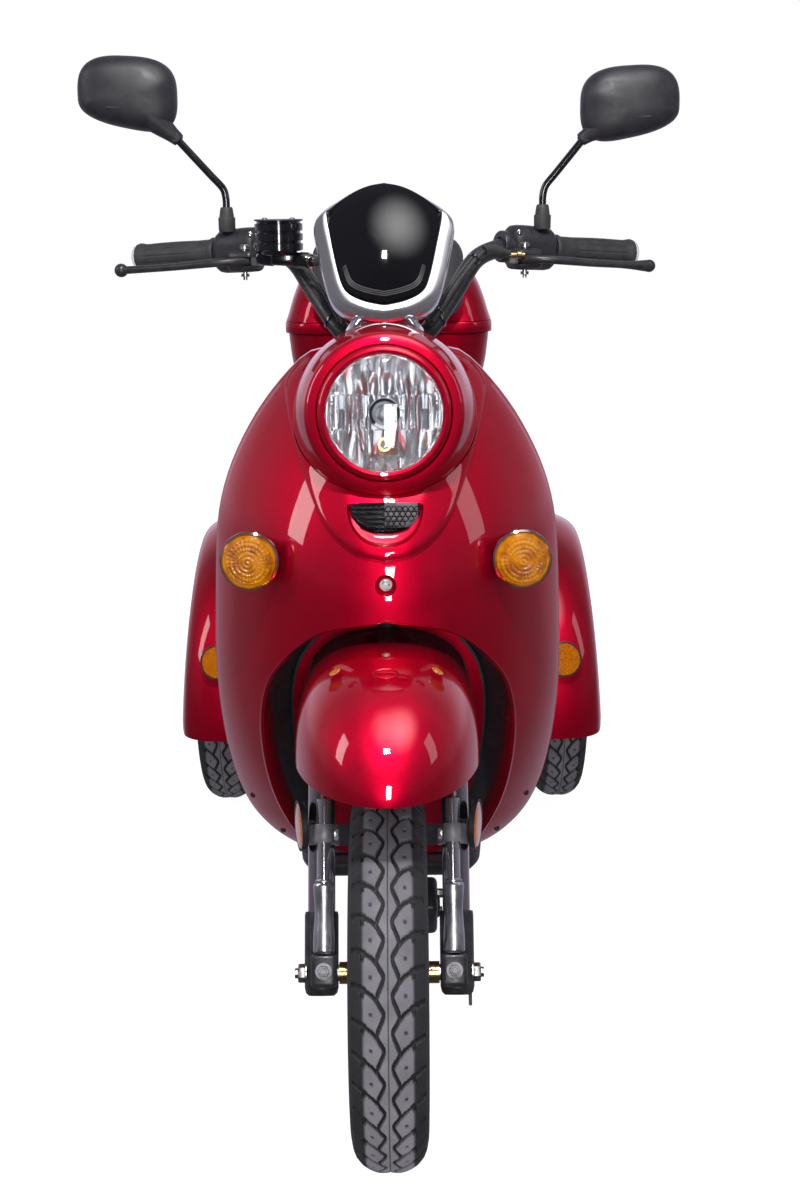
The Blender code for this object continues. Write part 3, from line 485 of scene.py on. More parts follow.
def make_materials():
    paint = Finish("red_paint", "red_paint", (0.45, 0.001, 0.022), 0.40, 0.9)
    flakes = paint.cells(2600)
    paint.colour_from(flakes.outputs["Color"], [(0.0, (0.34, 0.0004, 0.013)), (0.5, (0.46, 0.0008, 0.021)),
                                                (1.0, (0.62, 0.003, 0.036))])
    paint.roughness_from(paint.noise(38), 0.47, 0.53)
    paint.bump(flakes.outputs["Distance"], 0.05, 0.00004)
    paint.set("Coat Weight", 1.0)
    paint.set("Coat Roughness", 0.025)
    paint.set("Coat IOR", 1.50)
    paint.set("Specular Tint", (0.75, 0.02, 0.06, 1.0))

    plastic = Finish("black_plastic", "black_plastic", (0.017, 0.017, 0.019), 0.48)
    plastic.colour_from(plastic.noise(60), [(0.3, (0.009, 0.009, 0.012)), (0.7, (0.016, 0.016, 0.021))])
    plastic.roughness_from(plastic.noise(140), 0.42, 0.56)
    plastic.bump(plastic.noise(2200, 2.0), 0.35, 0.0002)

    gloss = Finish("gloss_black", "gloss_black", (0.006, 0.006, 0.008), 0.14)
    gloss.roughness_from(gloss.noise(50), 0.11, 0.18)
    gloss.set("Coat Weight", 0.6)
    gloss.set("Coat Roughness", 0.03)

    screen = Finish("smoked_screen", "gloss_black", (0.004, 0.004, 0.005), 0.05)
    screen.roughness_from(screen.noise(24), 0.035, 0.06)
    screen.set("Coat Weight", 0.2)
    screen.set("Coat Roughness", 0.015)

    chrome = Finish("chrome", "chrome", (0.82, 0.82, 0.84), 0.06, 1.0)
    chrome.roughness_from(chrome.noise(30), 0.045, 0.085)
    chrome.bump(chrome.noise(9, 1.0), 0.02, 0.001)

    trim = Finish("bright_trim", "chrome", (0.76, 0.75, 0.79), 0.08, 0.94)
    trim.roughness_from(trim.noise(30), 0.07, 0.11)

    reflector = Finish("faceted_chrome", "chrome", (0.92, 0.93, 0.95), 0.10, 0.85)
    reflector.roughness_from(reflector.noise(45), 0.08, 0.12)

    legs = Finish("leg_chrome", "black_metal", (0.60, 0.57, 0.57), 0.15, 1.0)
    legs.roughness_from(legs.noise(60), 0.12, 0.18)

    aluminium = Finish("aluminium", "aluminium", (0.60, 0.61, 0.63), 0.33, 1.0)
    aluminium.colour_from(aluminium.noise(50), [(0.3, (0.52, 0.53, 0.55)), (0.7, (0.66, 0.67, 0.69))])
    aluminium.roughness_from(aluminium.noise(120), 0.27, 0.42)
    aluminium.bump(aluminium.noise(900, 2.0), 0.12, 0.0001)

    metal = Finish("black_metal", "black_metal", (0.022, 0.022, 0.025), 0.36, 0.3)
    metal.colour_from(metal.noise(70), [(0.3, (0.017, 0.017, 0.019)), (0.7, (0.034, 0.034, 0.038))])
    metal.roughness_from(metal.noise(160), 0.28, 0.44)
    metal.bump(metal.noise(1300, 2.0), 0.22, 0.00015)

    zinc = Finish("zinc", "aluminium", (0.48, 0.48, 0.47), 0.34, 1.0)
    zinc.colour_from(zinc.noise(220), [(0.3, (0.38, 0.37, 0.35)), (0.7, (0.56, 0.56, 0.55))])
    zinc.roughness_from(zinc.noise(300), 0.26, 0.44)

    steel = Finish("dull_steel", "aluminium", (0.20, 0.19, 0.21), 0.52, 0.5)
    steel.colour_from(steel.noise(90), [(0.3, (0.15, 0.14, 0.16)), (0.7, (0.25, 0.24, 0.26))])
    steel.roughness_from(steel.noise(140), 0.46, 0.60)

    brass = Finish("yellow_zinc", "aluminium", (0.72, 0.50, 0.20), 0.26, 1.0)
    brass.colour_from(brass.noise(260), [(0.3, (0.60, 0.40, 0.14)), (0.7, (0.80, 0.60, 0.30))])

    tyre = Finish("tyre_rubber", "rubber", (0.030, 0.030, 0.032), 0.72)
    # The point attribute read here turns the tread face a lilac grey and leaves the grooves near black. This is
    # partly dust and wear, partly a painted reflection on the tread face and painted shade in the grooves.
    dust_and_painted_sheen = tyre.nodes.new("ShaderNodeAttribute")
    dust_and_painted_sheen.attribute_name = "dust_and_painted_sheen"
    dust_and_sheen_tone = tyre.ramp(dust_and_painted_sheen.outputs["Fac"], [(0.0, (0.012, 0.012, 0.014)), (1.0, (0.175, 0.165, 0.190))])
    patches = tyre.ramp(tyre.noise(34, 6.0), [(0.25, (0.72,)), (0.75, (1.15,))])
    both = tyre.nodes.new("ShaderNodeMix")
    both.data_type = "RGBA"
    both.blend_type = "MULTIPLY"
    both.inputs["Factor"].default_value = 1.0
    tyre.links.new(dust_and_sheen_tone, both.inputs["A"])
    tyre.links.new(patches, both.inputs["B"])
    tyre.links.new(both.outputs["Result"], tyre.shader.inputs["Base Color"])
    tyre.roughness_from(tyre.noise(90), 0.62, 0.86)
    tyre.bump(tyre.noise(1500, 3.0), 0.4, 0.0003)

    rubber = Finish("black_rubber", "rubber", (0.022, 0.022, 0.024), 0.6)
    rubber.colour_from(rubber.noise(80), [(0.3, (0.017, 0.017, 0.018)), (0.7, (0.030, 0.030, 0.032))])
    rubber.roughness_from(rubber.noise(150), 0.5, 0.7)
    rubber.bump(rubber.noise(2000, 2.0), 0.3, 0.0002)

    amber = Finish("amber_lens", "amber", (0.80, 0.26, 0.004), 0.07)
    amber.colour_from(amber.noise(70, 2.0), [(0.36, (0.34, 0.092, 0.0)), (0.64, (0.64, 0.235, 0.001))])
    amber.set("Transmission Weight", 0.35)
    amber.set("IOR", 1.40)
    amber.set("Coat Weight", 0.3)
    amber.set("Coat Roughness", 0.03)

    marker = Finish("amber_reflector", "amber", (0.80, 0.27, 0.012), 0.12)
    prisms = marker.cells(420, "DISTANCE_TO_EDGE")
    marker.colour_from(prisms.outputs["Distance"], [(0.0, (0.22, 0.045, 0.0)), (0.35, (0.62, 0.20, 0.002))])
    marker.bump(prisms.outputs["Distance"], 0.5, 0.0006)
    marker.set("Coat Weight", 1.0)
    marker.set("Coat Roughness", 0.03)

    clear = Finish("clear_lens", "clear", (0.93, 0.95, 0.97), 0.02)
    clear.roughness_from(clear.noise(20), 0.01, 0.03)
    clear.set("Transmission Weight", 1.0)
    clear.set("IOR", 1.30)

    tail = Finish("tail_red", "tail_red", (0.50, 0.008, 0.010), 0.10)
    ribs = tail.noise(300, 1.0, (1, 0.05, 0.05))
    tail.colour_from(ribs, [(0.3, (0.36, 0.004, 0.006)), (0.7, (0.62, 0.016, 0.016))])
    tail.set("Coat Weight", 1.0)

    vinyl = Finish("seat_vinyl", "seat_vinyl", (0.040, 0.040, 0.043), 0.52)
    grain = vinyl.cells(520)
    vinyl.colour_from(grain.outputs["Distance"], [(0.0, (0.052, 0.052, 0.055)), (0.7, (0.030, 0.030, 0.033))])
    vinyl.roughness_from(vinyl.noise(110), 0.44, 0.62)
    vinyl.bump(grain.outputs["Distance"], 0.35, 0.0006)

    thread = Finish("thread", "seat_vinyl", (0.24, 0.24, 0.25), 0.7)
    thread.roughness_from(thread.noise(400), 0.6, 0.8)

    caps = Finish("pale_cap", "clear", (0.72, 0.74, 0.76), 0.22)
    caps.roughness_from(caps.noise(120), 0.16, 0.30)
    caps.set("Transmission Weight", 0.35)

    glass = Finish("mirror_glass", "chrome", (0.88, 0.90, 0.92), 0.015, 1.0)
    glass.roughness_from(glass.noise(12), 0.01, 0.02)


make_materials()
CAD_FINISHES = {
    "red_paint": "red_paint", "black_plastic": "black_plastic", "gloss_black": "gloss_black",
    "chrome": "chrome", "aluminium": "aluminium", "black_metal": "black_metal", "rubber": "black_rubber",
    "amber": "amber_lens", "clear": "clear_lens", "tail_red": "tail_red", "seat_vinyl": "seat_vinyl",
}


def finish_cad_nodes():
    """Every CAD node that stays visible gets the finish of its slot."""
    slots = {entry["node"]: entry["material_slot"] for entry in frame["record"]["subparts"]}
    for name, node in frame["nodes"].items():
        material = MATERIALS[CAD_FINISHES[slots[name]]][0]
        if not node.data.materials:
            node.data.materials.append(material)
        for index in range(len(node.data.materials)):
            node.data.materials[index] = material


finish_cad_nodes()


# ---------------------------------------------------------------- front body
def apron_grid(columns, front_rows):
    """The horseshoe between the wheel arch and the outline, with its edges rolled back."""
    limit = ARCH.last_angle
    grid = []
    for i in range(columns):
        angle = -limit + 2 * limit * i / (columns - 1)
        inner = ARCH.radius(angle)
        outer = max(BODY_FROM_ARCH.radius(angle), inner + 0.014)
        sine, cosine = math.sin(angle), math.cos(angle)
        depth_in = body_depth(inner * sine, APRON_CENTRE_Z + inner * cosine)
        reach = min(0.030, max(0.006, 0.6 * (read(ARCH_DEPTH, APRON_CENTRE_Z + inner * cosine) - depth_in)))
        depth_out = body_depth(outer * sine, APRON_CENTRE_Z + outer * cosine)
        stations = [(inner, depth_in + reach), (inner, depth_in + reach * 0.5), (inner, depth_in + 0.0045),
                    (inner + 0.0006, depth_in + 0.0022), (inner + 0.0020, depth_in + 0.0007)]
        for j in range(front_rows):
            share = j / (front_rows - 1)
            radius = inner + 0.004 + (outer - inner - 0.008) * (1 - math.cos(share * math.pi / 2) ** 1.3)
            stations.append((radius, body_depth(radius * sine, APRON_CENTRE_Z + radius * cosine)))
        stations += [(outer - 0.0018, depth_out + 0.0006), (outer - 0.0004, depth_out + 0.0022),
                     (outer, depth_out + 0.005), (outer, depth_out + 0.013), (outer, depth_out + 0.022)]
        grid.append([spot(radius * sine, depth, APRON_CENTRE_Z + radius * cosine)
                     for radius, depth in stations])
    return grid


def nacelle_profile(extra=0.0):
    """The headlight barrel as (radius, distance ahead of the face), its shoulders rounded."""
    knots = [(0.0860, -0.008), (0.0935, -0.030), (0.1000, -0.065), (0.1020, -0.095), (0.0940, -0.125),
             (0.0660, -0.150), (0.0, -0.162)]
    curve = smooth_curve(knots, 40)
    curve[-1, 0] = 0.0
    return [(float(radius) + (extra if radius > 0.001 else 0.0), float(along)) for radius, along in curve]


def nacelle_cutter(extra):
    profile = nacelle_profile(extra)
    return turned([(0.0, 0.05), (profile[0][0], 0.05)] + profile, HEADLIGHT_FACE, HEADLIGHT_FORWARD, 96)


GRILLE_TOP = 0.711
NOSE_BOLT_Z = 0.628
INDICATOR_X = 0.146
INDICATOR_Z = 0.644


def recess_outline(share):
    """The lip around the half moon at share 1, and the half moon itself at share 0."""
    half_width = 0.0372 + 0.0038 * share
    top = 0.7105 + 0.0025 * share
    drop = 0.0305 + 0.0135 * share
    count = 64
    outline = []
    for k in range(count):
        turn = 2 * math.pi * k / count
        x = half_width * math.copysign(abs(math.cos(turn)) ** 0.8, math.cos(turn))
        if math.sin(turn) >= 0:
            z = top - 0.0060 * (1 - abs(math.sin(turn)) ** 0.35)
        else:
            z = top - 0.0060 - (drop - 0.0060) * abs(math.sin(turn)) ** 1.1
        outline.append((x, z))
    return outline


def grille_recess():
    """The sunk lip between the painted panel and the half-moon grille."""
    rings = []
    for share, sink in ((1.0, -0.0002), (0.97, 0.0012), (0.90, 0.0045), (0.60, 0.0062), (0.25, 0.0070),
                        (0.0, 0.0078), (-0.02, 0.0100), (0.60, 0.0100), (1.03, 0.0060), (1.04, 0.0012)):
        ring = []
        for x, z in recess_outline(share):
            ring.append(spot(x, body_depth(x, z) - GAP - SHELL + sink, z))
        rings.append(ring)
    points = [p for ring in rings for p in ring]
    count = len(rings[0])
    faces = []
    for i in range(len(rings)):
        n = (i + 1) % len(rings)
        for k in range(count):
            m = (k + 1) % count
            faces.append((i * count + k, i * count + m, n * count + m, n * count + k))
    return points, faces


def polar_dish(outline, centre_z, depth, columns, rows):
    """A grid that runs from the outline in to its centre; depth gives the distance behind the axle."""
    grid = []
    for i in range(columns):
        angle = 2 * math.pi * i / columns
        signed = (angle + math.pi) % (2 * math.pi) - math.pi
        radius = outline(signed)
        column = []
        for j in range(rows):
            share = 1 - j / (rows - 1)
            x, z = radius * share * math.sin(signed), centre_z + radius * share * math.cos(signed)
            column.append(spot(x, depth(x, z, share, signed), z))
        grid.append(column)
    return grid


def nose_surface(x, z, share, signed):
    """The raised panel: it rolls down to the apron at its edge."""
    edge = max(0.0, (share - 0.94) / 0.06)
    return body_depth(x, z) - GAP - SHELL * (1 - 0.75 * edge ** 2.2)


def indicator_frame(side):
    x = INDICATOR_X * SIDES[side]
    ahead = Vector((0.06 * SIDES[side], -1, 0.05)).normalized()
    return spot(x, body_depth(x, INDICATOR_Z), INDICATOR_Z), ahead


def hexagon_mesh(outline_test, spacing, bar, origin, depth):
    """A flat plate of open hexagons, as flat six-sided rings inside an outline."""
    rings = []
    row_step = spacing * math.sqrt(3) / 2
    for row in range(-3, 8):
        for column in range(-8, 9):
            x = (column + 0.5 * (row % 2)) * spacing
            z = origin.z - row * row_step
            if outline_test(x, z):
                centre = Vector((x, origin.y, z))
                profile = [(spacing / math.sqrt(3) - 0.0001, 0.0), (spacing / math.sqrt(3) - bar, 0.0),
                           (spacing / math.sqrt(3) - bar, depth), (spacing / math.sqrt(3) - 0.0001, depth)]
                rings.append(turned(profile, centre, Y_AXIS, 6, ring=True))
    return merged(*rings)


def make_front_body():
    grille_cutter = prism(recess_outline(1.0), spot(0, 0.1, 0), Y_AXIS, Z_AXIS, 0.3)
    indicator_cutters = []
    for side in SIDES:
        base, ahead = indicator_frame(side)
        indicator_cutters.append(turned([(0, 0.06), (0.0254, 0.06), (0.0254, -0.06), (0, -0.06)], base, ahead,
                                        48))
    bolt_hole = turned([(0, 0.05), (0.0115, 0.05), (0.0115, -0.05), (0, -0.05)],
                       spot(0, body_depth(0, NOSE_BOLT_Z), NOSE_BOLT_Z), Y_AXIS, 40)
    piece("apron_shell", shell(apron_grid(161, 48)), "red_paint", "chassis", ("apron",),
          (nacelle_cutter(0.0006), grille_cutter, bolt_hole, *indicator_cutters))
    piece("nose_panel_shell", shell(polar_dish(NOSE.radius, NOSE_CENTRE_Z, nose_surface, 160, 44),
                                    wrap=True, pole=True),
          "red_paint", "chassis", ("nose_panel",), (nacelle_cutter(0.0006), grille_cutter))
    lip = [(0.0720, -0.010), (0.0722, -0.0015), (0.0735, 0.0), (0.0800, -0.0015), (0.0845, -0.0045)]
    inner = [(0.0640, -0.147), (0.0905, -0.124), (0.0985, -0.095), (0.0965, -0.065), (0.0900, -0.030),
             (0.0800, -0.012)]
    profile = lip + nacelle_profile()[:-1] + [(0.0, -0.162), (0.0, -0.159)] + inner
    piece("nacelle_barrel", turned(profile, HEADLIGHT_FACE, HEADLIGHT_FORWARD, 120, ring=True), "red_paint",
          "chassis", ("headlight_nacelle",))
    piece("bezel_ring", turned([(0.0622, 0.0030), (0.0634, 0.0058), (0.0660, 0.0070), (0.0690, 0.0058),
                                (0.0712, 0.0030), (0.0716, -0.0010), (0.0716, -0.0095), (0.0622, -0.0095)],
                               HEADLIGHT_FACE, HEADLIGHT_FORWARD, 96, ring=True), "red_paint", "chassis",
          ("headlight_bezel",))
    centre = spot(0, body_depth(0, 0.695) + 0.0045, GRILLE_TOP)

    piece("grille_lip", grille_recess(), "red_paint", "chassis", smooth=50)
    # A gloss black tube round the nose panel's edge: painted shade standing in for the dark gap at the seam.
    seam = []
    for k in range(160):
        angle = 2 * math.pi * k / 160
        signed = (angle + math.pi) % (2 * math.pi) - math.pi
        x, z = NOSE.radius(signed) * math.sin(signed), NOSE_CENTRE_Z + NOSE.radius(signed) * math.cos(signed)
        seam.append(spot(x, body_depth(x, z) - 0.0004, z))
    piece("nose_seam_shade_line", closed_tube(seam, 0.0018, 8), "gloss_black", "chassis", smooth=60)

    def inside(x, z):
        bottom = GRILLE_TOP - 0.0300 * max(0.0, 1 - (x / 0.038) ** 2) ** 0.68
        return abs(x) < 0.0365 and GRILLE_TOP > z > bottom

    piece("grille_hexagons", hexagon_mesh(inside, 0.0062, 0.0011, centre, 0.0016), "gloss_black", "chassis",
          ("nose_grille",), smooth=20)
    piece("grille_backing", prism(recess_outline(0.3), centre + Vector((0, 0.012, 0)) - Z_AXIS * centre.z,
                                  Y_AXIS, Z_AXIS, 0.001), "gloss_black", "chassis")
    bracket = block(centre + Vector((0.017, 0.0095, -0.012)), (0.036, 0.002, 0.030), None, 0.0005)
    piece("horn_bracket", bracket, "dull_steel", "chassis")
    bolt_centre = spot(0, body_depth(0, NOSE_BOLT_Z) + 0.004, NOSE_BOLT_Z)
    piece("nose_bolt", merged(turned([(0, 0.0045), (0.0020, 0.0045), (0.0022, 0.0020), (0.0046, 0.0020),
                                      (0.0050, 0.0), (0.0, 0.0)], bolt_centre, -Y_AXIS, 6),
                              turned([(0, 0.0008), (0.0066, 0.0008), (0.0070, 0.0), (0.0070, -0.0012),
                                      (0, -0.0012)], bolt_centre + Y_AXIS * 0.0014, -Y_AXIS, 36)), "zinc",
          "chassis")
    cup = [(0.0071, 0.0), (0.0080, 0.0), (0.0110, 0.0045), (0.0113, 0.0045), (0.0113, -0.002),
           (0.0071, -0.002)]
    piece("bolt_cup", turned(cup, bolt_centre + Y_AXIS * 0.0020, -Y_AXIS, 40, ring=True), "red_paint",
          "chassis")
    screws = []
    for sign in SIDES.values():
        place = spot(sign * 0.034, body_depth(0.034, 0.738) - 0.0062, 0.738)
        screws.append(turned([(0, 0.0014), (0.0018, 0.0014), (0.0034, 0.0006), (0.0036, -0.001), (0, -0.001)],
                             place, -Y_AXIS, 20))
        for x, z in ((0.168, 0.318), (0.134, 0.262)):
            place = spot(sign * x, body_depth(x, z) - 0.0006, z)
            screws.append(turned([(0, 0.0010), (0.0016, 0.0012), (0.0036, 0.0004), (0.0038, -0.002),
                                  (0, -0.002)], place, Vector((sign * 0.6, -1, 0)), 20))
    piece("body_screws", merged(*screws), "black_metal", "chassis")


def reflector_bowl(face, forward, side, up):
    """A bowl of upright flutes, each a shallow mirror of its own, broken into three rows."""
    columns, rows = 180, 60
    points = []
    for k in range(columns):
        turn = 2 * math.pi * k / columns
        for j in range(rows):
            radius = 0.0135 + (0.0650 - 0.0135) * j / (rows - 1)
            x, y = radius * math.cos(turn), radius * math.sin(turn)
            row = 0 if y > 0.021 else (1 if y > -0.017 else 2)
            width = (0.0170, 0.0125, 0.0150)[row]
            place = (x / width + 0.5 * row) % 1.0
            index = math.floor(x / width + 0.5 * row)
            lift = 0.0050 * (place - 0.5) ** 2 * (1 if (index + row) % 2 else -0.7)
            tilt = (0.0012, -0.0006, 0.0009)[row] * (1 if index % 2 else -1) * (place - 0.5)
            along = -0.0490 + 0.0370 * (radius / 0.0655) ** 2 + lift * min(1.0,
                                                                           (0.0650 - radius) / 0.004) + tilt
            points.append(face + side * x + up * y + forward * along)
    faces = grid_faces(columns, rows, True)
    return points, faces


def make_headlight():
    """Lens, faceted bowl, bulb shield and a small position bulb."""
    face, forward = HEADLIGHT_FACE, HEADLIGHT_FORWARD
    side = X_AXIS
    up = side.cross(forward).normalized() * -1
    if up.z < 0:
        up = -up
    piece("headlight_glass", turned([(0.0, 0.0058), (0.020, 0.0052), (0.035, 0.0040), (0.048, 0.0018),
                                     (0.0560, -0.0003), (0.0605, -0.0025), (0.0614, -0.0045),
                                     (0.0600, -0.0062), (0.0550, -0.0035), (0.0350, 0.0012), (0.0, 0.0028)],
                                    face, forward, 96), "clear_lens", "chassis", ("headlight_lens",))
    piece("reflector_facets", reflector_bowl(face, forward, side, up), "faceted_chrome", "chassis", smooth=18)
    back_profile = [(0.0650, -0.0120), (0.0672, -0.0120), (0.0590, -0.0290), (0.0420, -0.0470),
                    (0.0200, -0.0590), (0.0, -0.0610), (0.0, -0.0575), (0.0400, -0.0440), (0.0570, -0.0270)]
    piece("reflector_shell", turned(back_profile, face, forward, 72, ring=True), "aluminium", "chassis",
          ("headlight_reflector",))
    shield = [(0.0095, -0.0500), (0.0095, -0.0180), (0.0130, -0.0135), (0.0165, -0.0140), (0.0172, -0.0160),
              (0.0140, -0.0165), (0.0110, -0.0200), (0.0110, -0.0500)]
    piece("bulb_shield", turned(shield, face, forward, 60, ring=True), "chrome", "chassis")
    piece("main_bulb", turned([(0, -0.0150), (0.0030, -0.0158), (0.0058, -0.0190), (0.0066, -0.0240),
                               (0.0050, -0.0330), (0, -0.0340)], face, forward, 32), "pale_cap", "chassis")
    position = face - up * 0.0330
    piece("position_bulb", turned([(0, -0.0195), (0.0028, -0.0203), (0.0046, -0.0230), (0.0048, -0.0270),
                                   (0.0038, -0.0330), (0, -0.0335)], position, forward, 28), "pale_cap",
          "chassis")
    piece("position_bulb_base", turned([(0.0052, -0.0290), (0.0075, -0.0290), (0.0080, -0.0420),
                                        (0.0, -0.0425), (0.0, -0.0345), (0.0052, -0.0345)], position, forward,
                                       28, ring=True), "yellow_zinc", "chassis")


def make_front_indicators():
    for side in SIDES:
        base, ahead = indicator_frame(side)
        base = base - ahead * 0.010
        pod = [(0.0, 0.0470), (0.0285, 0.0500), (0.0302, 0.0535), (0.0306, 0.0500), (0.0298, 0.0462),
               (0.0270, 0.0420), (0.0256, 0.0360), (0.0250, 0.0200), (0.0250, -0.0120), (0.0, -0.0120)]
        piece(f"indicator_pod_{side}", turned(pod, base, ahead, 64), "gloss_black", "chassis",
              (f"front_indicator_{side}",))
        piece(f"indicator_ring_{side}", turned([(0.0288, 0.0560), (0.0304, 0.0580), (0.0324, 0.0568),
                                                (0.0328, 0.0530), (0.0316, 0.0502), (0.0307, 0.0540),
                                                (0.0288, 0.0545)], base, ahead, 72, ring=True), "chrome",
              "chassis")
        ripple = []
        for step in range(61):
            radius = 0.0288 * (1 - step / 60)
            dome = 0.0560 + 0.0130 * math.sqrt(max(0.0, 1 - (radius / 0.0295) ** 2))
            groove = 0.0007 * math.cos(2 * math.pi * radius / 0.0048)
            ripple.append((radius, dome + groove))
        ripple = [(0.0, 0.0520), (0.0288, 0.0520)] + ripple[:-1] + [(0.0, ripple[-1][1])]
        lens = piece(f"indicator_lens_{side}", turned(ripple, base, ahead, 120), "amber_lens", "chassis",
                     smooth=60)
        flute_lens(lens, base, ahead)
        piece(f"indicator_bulb_{side}", turned([(0, 0.0506), (0.004, 0.0500), (0.006, 0.0480), (0.0, 0.0472)],
                                               base, ahead, 20), "pale_cap", "chassis")


def flute_lens(lens, base, ahead):
    """Radial flutes outside the lens's plain middle."""
    side, other = cross_frame(ahead)
    for vertex in lens.data.vertices:
        offset = vertex.co - base
        across = offset - ahead * offset.dot(ahead)
        radius = across.length
        if 0.011 < radius < 0.0275 and offset.dot(ahead) > 0.053:
            turn = math.atan2(across.dot(other), across.dot(side))
            strength = 0.0006 * min(1.0, (radius - 0.011) / 0.004) * min(1.0, (0.0275 - radius) / 0.003)
            vertex.co += ahead * strength * math.cos(turn * 30)


LINER_LOW_Z = 0.21


def make_inner_body():
    def arch_radius(signed):
        if abs(signed) <= ARCH.last_angle:
            return ARCH.radius(signed)
        bottom = APRON_CENTRE_Z - 0.235
        return min(ARCH.radius(ARCH.last_angle), bottom / math.cos(math.pi - abs(signed)))

    def liner_surface(x, z, share, signed):
        back = read(ARCH_DEPTH, max(z, LINER_LOW_Z))
        rim_x = arch_radius(signed) * math.sin(signed)
        rim_z = APRON_CENTRE_Z + arch_radius(signed) * math.cos(signed)
        front = body_depth(rim_x, rim_z)
        reach = min(0.030, max(0.006, 0.6 * (read(ARCH_DEPTH, rim_z) - front)))
        start = min(front + reach + 0.0025, back + 0.02)
        if abs(signed) > ARCH.last_angle:
            start = back + 0.012
        wall = 0.17
        if share < 1 - wall:
            return back
        return back + (start - back) * ((share - 1 + wall) / wall) ** 1.5

    stem_hole = tube([on_steering_axis(0.36), on_steering_axis(0.46)], 0.030, 40)
    piece("arch_liner", shell(polar_dish(arch_radius, APRON_CENTRE_Z, liner_surface, 128, 48), 0.0025,
                              wrap=True, pole=True), "black_plastic", "chassis", ("wheel_liner",),
          (stem_hole,))

    for side, sign in SIDES.items():
        band = []
        # The red return starts below the top of the arch and narrows towards it. The black liner therefore shows
        # there as painted shade, where the return lies in shadow.
        for i in range(65):
            signed = sign * (0.75 + (ARCH.last_angle - 0.75) * i / 64)
            width = 0.012 + 0.034 * min(1.0, i / 24)
            inner = arch_radius(signed) * (1 - width)
            deep = liner_surface(inner * math.sin(signed), APRON_CENTRE_Z + inner * math.cos(signed),
                                 1 - width, signed)
            edge_x = arch_radius(signed) * math.sin(signed)
            edge_z = APRON_CENTRE_Z + arch_radius(signed) * math.cos(signed)
            near = body_depth(edge_x, edge_z) + 0.0040
            row = []
            for j in range(9):
                share = 1 - width * j / 8
                x = arch_radius(signed) * share * math.sin(signed)
                z = APRON_CENTRE_Z + arch_radius(signed) * share * math.cos(signed)
                row.append(spot(x, near + (deep - 0.003 - near) * (j / 8) ** 1.4, z))
            band.append(row)
        piece(f"arch_return_{side}", shell(band if sign > 0 else band[::-1], 0.0015), "red_paint", "chassis",
              smooth=50)

    def shroud_surface(x, z, share, signed):
        return read(ARCH_DEPTH, max(z, LINER_LOW_Z)) - 0.006 - 0.012 * (1 - share ** 2)

    def shroud_radius(signed):
        return arch_radius(signed) * 0.80

    piece("inner_apron", shell(polar_dish(shroud_radius, APRON_CENTRE_Z, shroud_surface, 96, 24), 0.002,
                               wrap=True, pole=True), "red_paint", "chassis", (), (stem_hole,))
    top = 0.838

    def leg_radius(signed):
        radius = BODY.radius(signed) - 0.002
        return min(radius, (top - BODY_CENTRE_Z) / math.cos(signed)) if abs(signed) < 1.3 else radius

    def leg_surface(x, z, share, signed):
        edge = read(EDGE_DEPTH, z) + 0.0265
        crease = 0.004 * math.exp(-((x / 0.055) ** 4)) * (1 - share ** 4)
        return edge + (0.375 - edge) * (1 - share ** 3) - crease

    key = joint_point("key_turn")
    piece("leg_shield_shell", shell(polar_dish(leg_radius, BODY_CENTRE_Z, leg_surface, 144, 44), wrap=True,
                                    pole=True), "red_paint", "chassis", ("leg_shield",),
          (tube([on_steering_axis(0.60), on_steering_axis(0.80)], 0.024, 40),
           tube([key - Y_AXIS * 0.05, key + Y_AXIS * 0.05], 0.0125, 32)))
    piece("key_surround", turned([(0.0128, 0.010), (0.0165, 0.011), (0.0180, 0.006), (0.0175, -0.004),
                                  (0.0128, -0.004)], key, Y_AXIS, 40, ring=True), "black_plastic", "chassis")
    hook = smooth_curve([spot(0, 0.370, 0.560), spot(0, 0.392, 0.556), spot(0, 0.404, 0.540),
                         spot(0, 0.406, 0.522), spot(0, 0.418, 0.512), spot(0, 0.430, 0.520)], 24)
    piece("bag_hook", tube(hook, 0.0045, 16), "chrome", "chassis")


# ---------------------------------------------------------------- wheels
TREAD_PITCH = 2 * math.pi / 36
TREAD_LENGTH = TREAD_PITCH * TYRE_RADIUS
TREAD_CURVE = [(0.0033, 0.52), (0.0075, 0.33), (0.0109, 0.16), (0.0160, 0.01), (0.0240, -0.15),
               (0.0360, -0.26)]
TREAD_RETURN = [(0.0033, 0.52), (0.0125, 1.14)]


def tread_grooves(across):
    """The grooves met at one place across the tyre, as (phase, half width in phase, depth)."""
    distance = abs(across)
    shift = 0.5 if across > 0 else 0.0
    if distance < 0.0005:
        return [(0.5, 0.6, 0.0010)]
    grooves = []
    for curve, width in ((TREAD_CURVE, 0.0017 if distance < 0.022 else 0.0026), (TREAD_RETURN, 0.0016)):
        places, phases = zip(*curve)
        if places[0] <= distance <= places[-1]:
            phase = np.interp(distance, places, phases)
            slope = (np.interp(distance + 0.0004, places, phases) - np.interp(distance - 0.0004, places,
                                                                              phases))
            stretch = math.sqrt(1 + (slope * TREAD_LENGTH / 0.0008) ** 2)
            grooves.append((phase + shift, width * min(stretch, 3.2) / TREAD_LENGTH, 0.0038))
    if abs(distance - 0.0168) < 0.0015:
        grooves.append((0.52 + shift, 0.0017 / TREAD_LENGTH, 0.0013))
    if 0.0235 < distance < 0.0270:
        grooves.append((shift - 0.02, 0.10, 0.0030))
    return grooves


